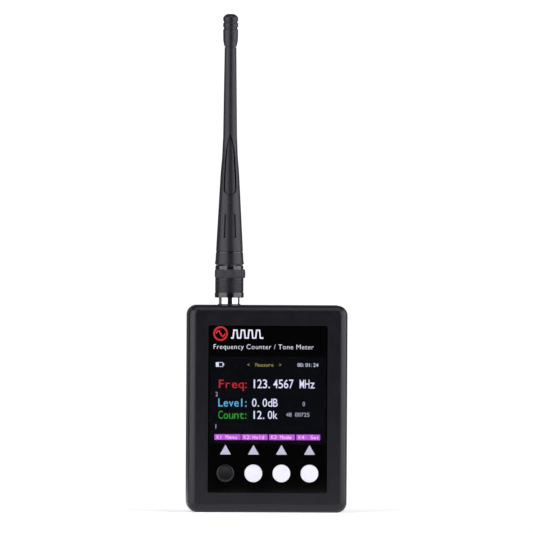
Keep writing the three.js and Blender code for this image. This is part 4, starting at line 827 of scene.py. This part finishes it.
# %% Jack
shell_low, shell_high = extent("jack_shell")
top = shell_high.z
lug_reach = shell_high.x - jack.x
lugs = []
for side in (-1, 1):
    lug = lathe([
        (0, 4.4), (0.95, 4.4), (0.95, lug_reach - 0.12), (0.83, lug_reach), (0, lug_reach)], 24)
    lugs.append(moved(lug, (0, 0, top - 5.2), Matrix.Rotation(side * math.pi / 2, 3, "Y")))
tube = lathe([
    (4.05, shell_low.z), (4.8, shell_low.z), (4.8, top - 0.25), (4.6, top), (4.2, top),
    (4.05, top - 0.2)], 96, closed=True)
piece(
    "jack_shell_fine", on_jack(plus(tube, *lugs)), nickel, "case", ["jack_shell"],
    edge=0.05)
turned_parts = {
    "jack_bushing": (seal_rubber, "black_rubber", "case", [
        (4.95, 94.0), (5.25, 94.0), (5.25, 96.3), (5.12, 96.45), (4.95, 96.45)]),
    "jack_insulator": (white_ptfe, "white_insulator", "case", [
        (0.7, 87.0), (3.9, 87.0), (3.9, 100.6), (2.45, 100.6), (2.45, 106.6), (2.25, 106.8),
        (1.13, 106.8), (1.13, 97.9), (0.7, 97.9)]),
    "jack_contact": (gold, "gold_plate", "case", [
        (0, 79.0), (0.5, 79.0), (0.5, 98.0), (0.98, 98.0), (0.98, 106.45), (0.9, 106.6),
        (0.805, 106.5), (0.805, 99.0), (0, 99.0)]),
    "plug_gasket": (seal_rubber, "black_rubber", "plug_seal", [
        (3.95, 108.25), (4.75, 108.25), (4.75, 108.85), (3.95, 108.85)]),
    "plug_body": (nickel, "nickel_plate", "antenna", [
        (2.65, 101.4), (3.75, 101.4), (3.85, 101.6), (3.85, 108.9), (4.6, 108.9), (4.6, 109.9),
        (3.9, 109.9), (3.9, 121.94), (1.9, 121.94), (1.9, 116.14), (2.65, 116.14)]),
    "plug_insulator": (white_ptfe, "white_insulator", "antenna", [
        (0.775, 107.4), (2.5, 107.4), (2.5, 115.94), (0.775, 115.94)]),
    "plug_pin": (gold, "gold_plate", "antenna", [
        (0, 102.0), (0.33, 102.0), (0.6, 102.4), (0.675, 102.8), (0.675, 119.64), (0, 119.64)]),
    "spring_washer": (bright_steel, "plated_steel", "antenna", [
        (4.0, 110.0), (4.8, 110.0), (4.8, 110.9), (4.0, 110.9)]),
}
for node, (material, finish, body, profile) in turned_parts.items():
    shape = lathe(profile, 64, closed=profile[0][0] > 0)
    piece(f"{node}_fine", on_jack(shape), material, body, [node], edge=0.04)

# %% [markdown]
# ## The coupling collar
# The collar is turned: a skirt with fine rings 1.1 mm apart, and a round head. Two grooves inside
# climb like a thread, a degree of turn for each tenth of a millimetre, and take the lugs. The
# polished lip at its foot is a ring of its own here, because it is much glossier than the skirt.

# %% Collar
collar_foot = extent("coupling_collar")[0].z
collar_head = extent("coupling_collar")[1].z
SKIRT, LIP, RING_PITCH, RING_DEPTH = 6.6, 6.74, 1.1, 0.07
LIP_LONG, LIP_SINK, BAND_UP, BAND_LONG = 2.4, 0.45, 9.1, 4.0
side = [
    (4.95, collar_foot + 0.3), (5.2, collar_foot), (LIP - LIP_SINK, collar_foot),
    (LIP - LIP_SINK, collar_foot + LIP_LONG), (SKIRT - 0.15, collar_foot + LIP_LONG),
    (SKIRT - 0.15, collar_foot + LIP_LONG + 0.3), (SKIRT, collar_foot + LIP_LONG + 0.4)]
for n in range(5):
    z = collar_foot + LIP_LONG + 0.75 + RING_PITCH * n
    side += [
        (SKIRT, z), (SKIRT - RING_DEPTH, z + 0.12), (SKIRT - RING_DEPTH, z + 0.34),
        (SKIRT, z + 0.46)]
head_side = [
    (6.52, collar_foot + BAND_UP + BAND_LONG - 0.2), (6.52, collar_head - 0.75),
    (6.44, collar_head - 0.4), (6.22, collar_head - 0.12), (5.9, collar_head)]
side += [
    (SKIRT - 0.1, collar_foot + 9.3), (SKIRT - 0.1, collar_foot + 12.6), *[
        (radius - 0.05, z - 0.02) for radius, z in head_side[1:]],
    (4.15, collar_head - 0.02), (4.15, 111.0), (4.95, 111.0)]
grooves = []
for start in (0, math.pi):
    lug_z, back, ahead = top - 5.2, math.radians(15), math.radians(-75.3)
    climb = ahead * 180 / math.pi / 10
    groove = lathe(
        [(4.5, -1.875), (5.8, -1.875), (5.8, 1.875), (4.5, 1.875)], 14, angle=ahead, rise=climb,
        closed=True)
    grooves.append(moved(
        groove, (0, 0, lug_z + 1.5), Matrix.Rotation(start + back, 3, "Z")))
collar = less(lathe(side, 96, closed=True), *grooves)
piece(
    "collar_body", on_jack(collar), collar_nylon, "collar",
    ["coupling_collar"], crease=25)

# %% [markdown]
# The lip and the head's outer skin are polished. Both are thin turned rings.

# %% Polished rings of the collar
lip = lathe([
    (LIP - LIP_SINK, collar_foot + 0.01), (LIP - 0.25, collar_foot + 0.01),
    (LIP - 0.07, collar_foot + 0.09), (LIP, collar_foot + 0.28), (LIP, collar_foot + 2.15),
    (LIP - 0.06, collar_foot + 2.32), (LIP - 0.2, collar_foot + LIP_LONG),
    (LIP - LIP_SINK, collar_foot + LIP_LONG)], 128, closed=True)
skin = lathe([*head_side, (5.6, collar_head), (5.6, head_side[0][1])], 128, closed=True)
for name, ring in (("collar_lip", lip), ("collar_head_ring", skin)):
    piece(name, on_jack(ring), lip_nylon, "collar")

# %% [markdown]
# The grip band is a ring that swells into five lobes, one for each fingertip, with fine flutes
# over them. The ring is turned with many steps, and its outer points are then moved in and out.

# %% Grip band
LOBES, LOBE, FLUTES, FLUTE = 5, 0.35, 80, 0.07
band_foot = collar_foot + BAND_UP
band = lathe([
    (6.3, band_foot), (6.78, band_foot), (7.0, band_foot + 0.4), (7.08, band_foot + 1.2),
    (7.08, band_foot + 2.8), (7.0, band_foot + 3.6), (6.78, band_foot + BAND_LONG),
    (6.3, band_foot + BAND_LONG)], 320, closed=True)
for v in band.verts:
    radius = math.hypot(v.co.x, v.co.y)
    if radius > 6.5:
        angle = math.atan2(v.co.y, v.co.x)
        flute = FLUTE * (math.cos(FLUTES * angle) - 1) if radius > 7 else 0
        grown = 1 + (LOBE * math.cos(LOBES * angle) + flute) / radius
        v.co.x, v.co.y = v.co.x * grown, v.co.y * grown
piece("collar_grip", on_jack(band), grip_nylon_painted_sheen, "collar")

# %% [markdown]
# ## The antenna
# The sheath is a soft moulding: a flared foot, a long cone and a thin whip. A ring is turned into
# its foot, and two thin slots with a round end are pressed into each side of the cone.

# %% Sheath
sheath_low, sheath_high = extent("antenna_sheath")
foot = sheath_low.z
whip_top = extent("antenna_tip")[0].z - 0.3
SHEATH_SIDE = [
    (0, 6.66), (0.12, 6.74), (0.7, 6.70), (1.7, 6.51), (41, 4.38), (43.5, 4.20), (46, 3.99),
    (48.5, 3.76), (52, 3.56), (55.8, 3.41), (59.5, 3.22), (whip_top - foot, 2.73)]
RING_UP, RING_WIDE, RING_DEEP = 5.2, 0.9, 0.3


def sheath_radius(up):
    for (low, r0), (high, r1) in zip(SHEATH_SIDE, SHEATH_SIDE[1:]):
        if low <= up <= high:
            return r0 + (r1 - r0) * (up - low) / (high - low)
    return SHEATH_SIDE[-1][1]


def sheath_side(proud, ups):
    return [(sheath_radius(up) + proud, foot + up) for up in ups]


ring_z = [foot + RING_UP, foot + RING_UP + RING_WIDE]
lower = sheath_side(0, [0, 0.12, 0.7, 1.7, RING_UP])
upper = sheath_side(
    0, [RING_UP + RING_WIDE] + [8 + 1.5 * n for n in range(35)] + [SHEATH_SIDE[-1][0]])
groove_r = sheath_radius(RING_UP) - RING_DEEP
outside = [
    *lower, (groove_r, ring_z[0] + 0.12), (groove_r, ring_z[1] - 0.12), *upper,
    (2.35, whip_top + 0.02), (2.35, sheath_high.z), (0, sheath_high.z)]
core_hole, coil_hole, plug_hole = (1.1, 221.8), (2.15, 176.44), (4.2, 122.34)   # radius, top
bore = [
    (0, core_hole[1]), core_hole, (core_hole[0], coil_hole[1]), coil_hole,
    (coil_hole[0], plug_hole[1]), plug_hole, (plug_hole[0], foot)]
sheath = lathe([*bore, *outside], 96)
print("sheath:", len(sheath.faces), "faces")

# %% [markdown]
# A slot is cut with a thin bar that has a ball-shaped foot, where the moulding pin was.

# %% Slots
SLOT_FOOT, SLOT_LONG, SLOT_WIDE, SLOT_X, SLOT_DEEP = foot + 12.3, 10.9, 0.6, 2.55, 0.5
SLOT_SPLAY, CONE_SLOPE = math.radians(1.8), math.radians(3.1)


def slot_cutter(side, face):
    reach = math.sqrt(6.0 ** 2 - SLOT_X ** 2) - SLOT_DEEP
    strip = slab((-SLOT_WIDE / 2, 0, 0), (SLOT_WIDE / 2, 5, SLOT_LONG), 0.28, 3)
    bulb = lathe([(0, 0), (0.5, 0), (0.5, 5), (0, 5)], 16)
    cutter = plus(strip, moved(bulb, (0, 0, 0.45), LIE_BACK))
    if face < 0:
        moved(cutter, (0, 0, 0), Matrix.Rotation(math.pi, 3, "Z"))
    lean = Matrix.Rotation(-side * SLOT_SPLAY, 3, "Y") @ Matrix.Rotation(
        face * CONE_SLOPE, 3, "X")
    return moved(cutter, (side * SLOT_X, face * (reach - 0.15), SLOT_FOOT), lean)


slots = [slot_cutter(a, b) for a in (-1, 1) for b in (-1, 1)]

# %% [markdown]
# A tongue with a round foot runs up the cone, front and back, in a leaf-shaped pocket that ends in
# a point above it. A flat prism in the pocket's outline cuts the sheath's skin away, and the tongue
# is the part of a slightly fatter sheath that lies inside a smaller prism. Fine ribs cross it.

# %% Pocket and tongue
LEAF_UP, POCKET_DEEP, TONGUE_SINK = 35.0, 0.7, 0.85
POCKET = [(3.0, 35), (2.8, 41), (2.45, 48), (2.1, 52), (1.55, 55.5), (0.85, 58.5), (0, 60.5)]
TONGUE = [(2.35, 35), (2.05, 41), (1.65, 48), (1.45, 51.2), (1.0, 52.4), (0, 52.7)]
UPS = [28, 34, 41, 43.5, 46, 48.5, 52, 55.8, 59, 62]


def prism_of(side):
    """A block front to back with a round foot and these half widths at these heights above."""
    radius = side[0][0]
    outline = [(radius * math.sin(a), LEAF_UP - radius * math.cos(a))
               for a in [math.radians(-84 + 14 * n) for n in range(13)]]
    outline += side + [(-x, up) for x, up in side[-2::-1]]
    prism = bmesh.new()
    rim = [prism.verts.new((x, -9, foot + up)) for x, up in outline]
    prism.faces.new(rim)
    drawn = bmesh.ops.extrude_face_region(prism, geom=prism.faces[:])
    far = [item for item in drawn["geom"] if isinstance(item, bmesh.types.BMVert)]
    bmesh.ops.translate(prism, vec=(0, 18, 0), verts=far)
    bmesh.ops.recalc_face_normals(prism, faces=prism.faces)
    return prism


def sheath_core(proud, ups):
    return lathe([(0, foot + ups[0]), *sheath_side(proud, ups), (0, foot + ups[-1])], 96)


sheath = less(sheath, less(prism_of(POCKET), sheath_core(-POCKET_DEEP, UPS)), *slots)
piece(
    "sheath_moulding", on_jack(sheath), sheath_elastomer, "antenna",
    ["antenna_sheath"], crease=28)

fat_side = sheath_side(0.12, UPS[:2])
for n in range(9):
    up = 34.4 + 1.3 * n
    for share, proud in ((0, 0.12), (0.3, 0.24), (0.7, 0.24), (1.0, 0.12)):
        fat_side += sheath_side(proud, [up + share])
fat_side += sheath_side(0.14, UPS[5:])
fat = lathe([(0, foot + UPS[0]), *fat_side, (0, foot + UPS[-1])], 96)
tongue = less(boolean(fat, prism_of(TONGUE), "INTERSECT"), sheath_core(-TONGUE_SINK, UPS))
piece(
    "sheath_tongue", on_jack(tongue), sheath_elastomer, "antenna", crease=28)

# %% [markdown]
# A narrow polished ring sits in the lower half of the groove round the sheath's foot.

# %% Groove ring
shine_r, shine_foot = groove_r + 0.22, ring_z[0] + 0.06
piece(
    "sheath_ring", on_jack(lathe([
        (groove_r - 0.3, shine_foot), (shine_r, shine_foot), (shine_r, shine_foot + 0.35),
        (shine_r - 0.12, shine_foot + 0.46), (groove_r - 0.3, shine_foot + 0.46)], 96,
        closed=True)),
    lip_nylon, "antenna")

# %% [markdown]
# A rubber ring under the sheath's foot fills the gap over the collar and keeps rain off the plug.

# %% Foot ring
ring_foot = collar_head + 0.06
piece(
    "sheath_foot_ring", on_jack(lathe([
        (3.98, ring_foot), (6.2, ring_foot), (6.3, ring_foot + 0.1), (6.3, foot - 0.06),
        (6.2, foot - 0.01), (3.98, foot - 0.01)], 96, closed=True)),
    seal_rubber, "antenna")

# %% [markdown]
# The tip is a cap with two grooves near its top, which a fingernail can catch.

# %% Tip
tip_low, tip_high = extent("antenna_tip")
TIP_R, GROOVE = 3.48, 0.35
tip_side = [
    (2.5, 8.0), (2.5, 0), (2.8, 0), (3.2, 1.8), (3.4, 2.8), (3.46, 5.2), (TIP_R, 7.9),
    (TIP_R - GROOVE, 8.1), (TIP_R - GROOVE, 8.9), (TIP_R, 9.1), (TIP_R, 10.8),
    (TIP_R - GROOVE, 11.0), (TIP_R - GROOVE, 11.7), (TIP_R, 11.9), (TIP_R, 13.25),
    (3.38, 13.6), (3.18, 13.95), (2.7, 14.45), (2.08, 14.85), (1.58, 15.1), (1.0, 15.15)]
tip = lathe([(0, tip_low.z + 8.0)] + [(r, tip_low.z + up) for r, up in tip_side]
            + [(0, tip_high.z)], 72)
piece(
    "tip_cap", on_jack(tip), sheath_elastomer, "antenna", ["antenna_tip"],
    edge=0.08)

# %% [markdown]
# ## The charging socket
# A folded steel shell with round corners surrounds a flat black tongue.

# %% Charging socket
shell = round_edges(block(usb_low, usb_high), runs_along(0), 1.05, 6)
bore_low = usb_low + Vector((-1, 0.28, 0.28))
bore_high = usb_high + Vector((1, -0.28, -0.28))
shell = less(shell, round_edges(block(bore_low, bore_high), runs_along(0), 0.8, 6))
piece("charging_shell", shell, bright_steel, "case", ["usb_shell"], edge=0.06)
tongue_low, tongue_high = extent("usb_tongue")
blade_z, blade_y = (usb_low.z + usb_high.z) / 2, (usb_low.y + usb_high.y) / 2
blade = block(
    (tongue_low.x + 0.55, blade_y - 0.35, blade_z - 1.875),
    (tongue_high.x, blade_y + 0.35, blade_z + 1.875))
base = round_edges(
    block(tongue_low, (tongue_low.x + 1.1, tongue_high.y, tongue_high.z)), runs_along(0), 0.6, 4)
piece(
    "charging_tongue", plus(base, blade), chip_epoxy, "case", ["usb_tongue"],
    edge=0.08)

# %% [markdown]
# ## The label on the back
# A silver film with a printed border and a few plain rules, where a maker would write.

# %% Label
piece(
    "label_plate", slab(label_low, label_high, 1.7), label_film, "case",
    ["rear_label"], edge=0.04)
border = slab(
    (label_low.x + 1.4, label_high.y - 0.015, label_low.z + 1.4),
    (label_high.x - 1.4, label_high.y + 0.015, label_high.z - 1.4), 1.0)
border = less(border, slab(
    (label_low.x + 1.8, label_high.y - 1, label_low.z + 1.8),
    (label_high.x - 1.8, label_high.y + 1, label_high.z - 1.8), 0.7))
rules = [
    block((label_low.x + 5, label_high.y - 0.015, z), (right, label_high.y + 0.015, z + 0.35))
    for z, right in ((55.0, 12.0), (51.2, 17.5), (47.4, 17.5), (43.6, 4.0))]
piece("label_print", together(border, *rules), ink_grey, "case")

# %% [markdown]
# ## Parts that keep their solid shape
# What lies inside the case is plain in real life too, so those nodes stay and only get a finish.

# %% Finishes for the nodes that stay
kept = {
    white_tape: ["panel_tape"],
    grey_foam: ["display_gasket", "display_pad", "battery_pad"],
    tray_plastic: ["lcd_backlight"],
    amber_film: ["lcd_ribbon"],
    cream_nylon: ["ribbon_socket", "battery_socket", "battery_plug",
                  *[f"switch_stem_{n}" for n in range(1, 5)]],
    laminate: ["main_board"],
    bright_steel: ["rf_shield", "crystal", *[f"board_screw_{n}" for n in range(1, 5)]],
    chip_epoxy: ["jack_body", "prescaler_chip", "main_chip",
                 *[f"tact_switch_{n}" for n in range(1, 5)]],
    foil_pouch: ["battery"],
    red_lead: ["battery_lead_red"],
    black_lead: ["battery_lead_black"],
    white_ptfe: ["antenna_core"],
    copper: ["antenna_coil"],
}
for material, nodes in kept.items():
    for node in nodes:
        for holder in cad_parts[node].material_slots:
            holder.material = material
print("nodes kept:", sum(len(nodes) for nodes in kept.values()))

# %% [markdown]
# ## The studio
# The object stands on a white sheet. Two tall soft boxes stand to its left and right and a weaker
# one hangs above. They are what the black plastic and the plating mirror: a band of light down each
# side and darkness in the middle, where the camera stands.

# %% Floor and lights
floor_shape = bmesh.new()
bmesh.ops.create_circle(floor_shape, cap_ends=True, segments=96, radius=0.3)
floor_mesh = bpy.data.meshes.new("studio_floor")
floor_shape.to_mesh(floor_mesh)
floor_shape.free()
floor = bpy.data.objects.new("studio_floor", floor_mesh)
bpy.context.scene.collection.objects.link(floor)
floor_mesh.materials.append(surface(
    "paper_white", "#f2f2f2", "#f7f7f7", (0.85, 0.95), grain=2.0, depth=0.01, patch=300.0,
    Emission_Color=linear("#ffffff"), Emission_Strength=0.45))

AIM = Vector((-0.0003, 0, 0.11395))


def soft_box(name, around, up, distance, wide, tall, brightness):
    """A rectangular light. Around is measured from the front, and brightness is radiance."""
    light = bpy.data.lights.new(name, "AREA")
    light.shape, light.size, light.size_y = "RECTANGLE", wide, tall
    light.energy = brightness * math.pi * wide * tall
    light.color = (0.94, 0.925, 1.0)
    around, up = math.radians(around), math.radians(up)
    toward = Vector((
        math.sin(around) * math.cos(up), -math.cos(around) * math.cos(up), math.sin(up)))
    holder = bpy.data.objects.new(name, light)
    holder.location = AIM + distance * toward
    holder.rotation_euler = toward.to_track_quat("Z", "Y").to_euler()
    holder.visible_camera = False
    bpy.context.scene.collection.objects.link(holder)
    return holder


soft_box("soft_box_left", -58, 4, 0.8, 1.15, 1.3, 2.75)
soft_box("soft_box_right", 70, 4, 0.8, 1.25, 1.3, 2.75)
soft_box("soft_box_top", 0, 72, 0.8, 0.9, 0.6, 1.4)

# %% [markdown]
# The camera sees a plain white background. What surfaces mirror is different: a dim room, a little
# lighter behind the object than in front, which keeps the outlines of the black plastic crisp.

# %% Surroundings
world = bpy.data.worlds.new("studio_room")
bpy.context.scene.world = world
world.use_nodes = True
room = world.node_tree
room.nodes.clear()
direction = add_node(room, "ShaderNodeTexCoord").outputs["Generated"]
axes = add_node(room, "ShaderNodeSeparateXYZ", (), {"Vector": direction})
shade = add_node(
    room, "ShaderNodeMapRange",
    {"From Min": -0.1, "From Max": 0.4, "To Min": 0.015, "To Max": 0.14},
    {"Value": axes.outputs["Y"]})
mirrored = add_node(
    room, "ShaderNodeBackground", {"Color": (1, 1, 1, 1)}, {"Strength": shade.outputs["Result"]})
seen = add_node(room, "ShaderNodeBackground", {"Color": (1, 1, 1, 1), "Strength": 1.05})
ray = add_node(room, "ShaderNodeLightPath")
both = add_node(room, "ShaderNodeMixShader", (), {
    "Fac": ray.outputs["Is Camera Ray"], 1: mirrored.outputs["Background"],
    2: seen.outputs["Background"]})
add_node(room, "ShaderNodeOutputWorld", (), {"Surface": both.outputs["Shader"]})
bpy.context.scene.view_settings.view_transform = "Standard"

# %% [markdown]
# The camera stands five metres away with a very long lens, which keeps upright lines upright. It
# looks from a hair's breadth to the left and above, and the object leans less than half a degree.

# %% Camera
DISTANCE, FRAME_WIDTH, AROUND, UP, ROLL = 5.0, 0.2476, -2.3, 0.4, 0.30
lens = bpy.data.cameras.new("camera")
lens.sensor_width = 36
lens.lens = lens.sensor_width * DISTANCE / FRAME_WIDTH
lens.clip_end = 50
camera = bpy.data.objects.new("camera", lens)
around, up = math.radians(AROUND), math.radians(UP)
toward = Vector((math.sin(around) * math.cos(up), -math.cos(around) * math.cos(up), math.sin(up)))
camera.location = AIM + DISTANCE * toward
look = toward.to_track_quat("Z", "Y").to_matrix() @ Matrix.Rotation(math.radians(ROLL), 3, "Z")
camera.rotation_euler = look.to_euler()
bpy.context.scene.collection.objects.link(camera)
bpy.context.scene.camera = camera
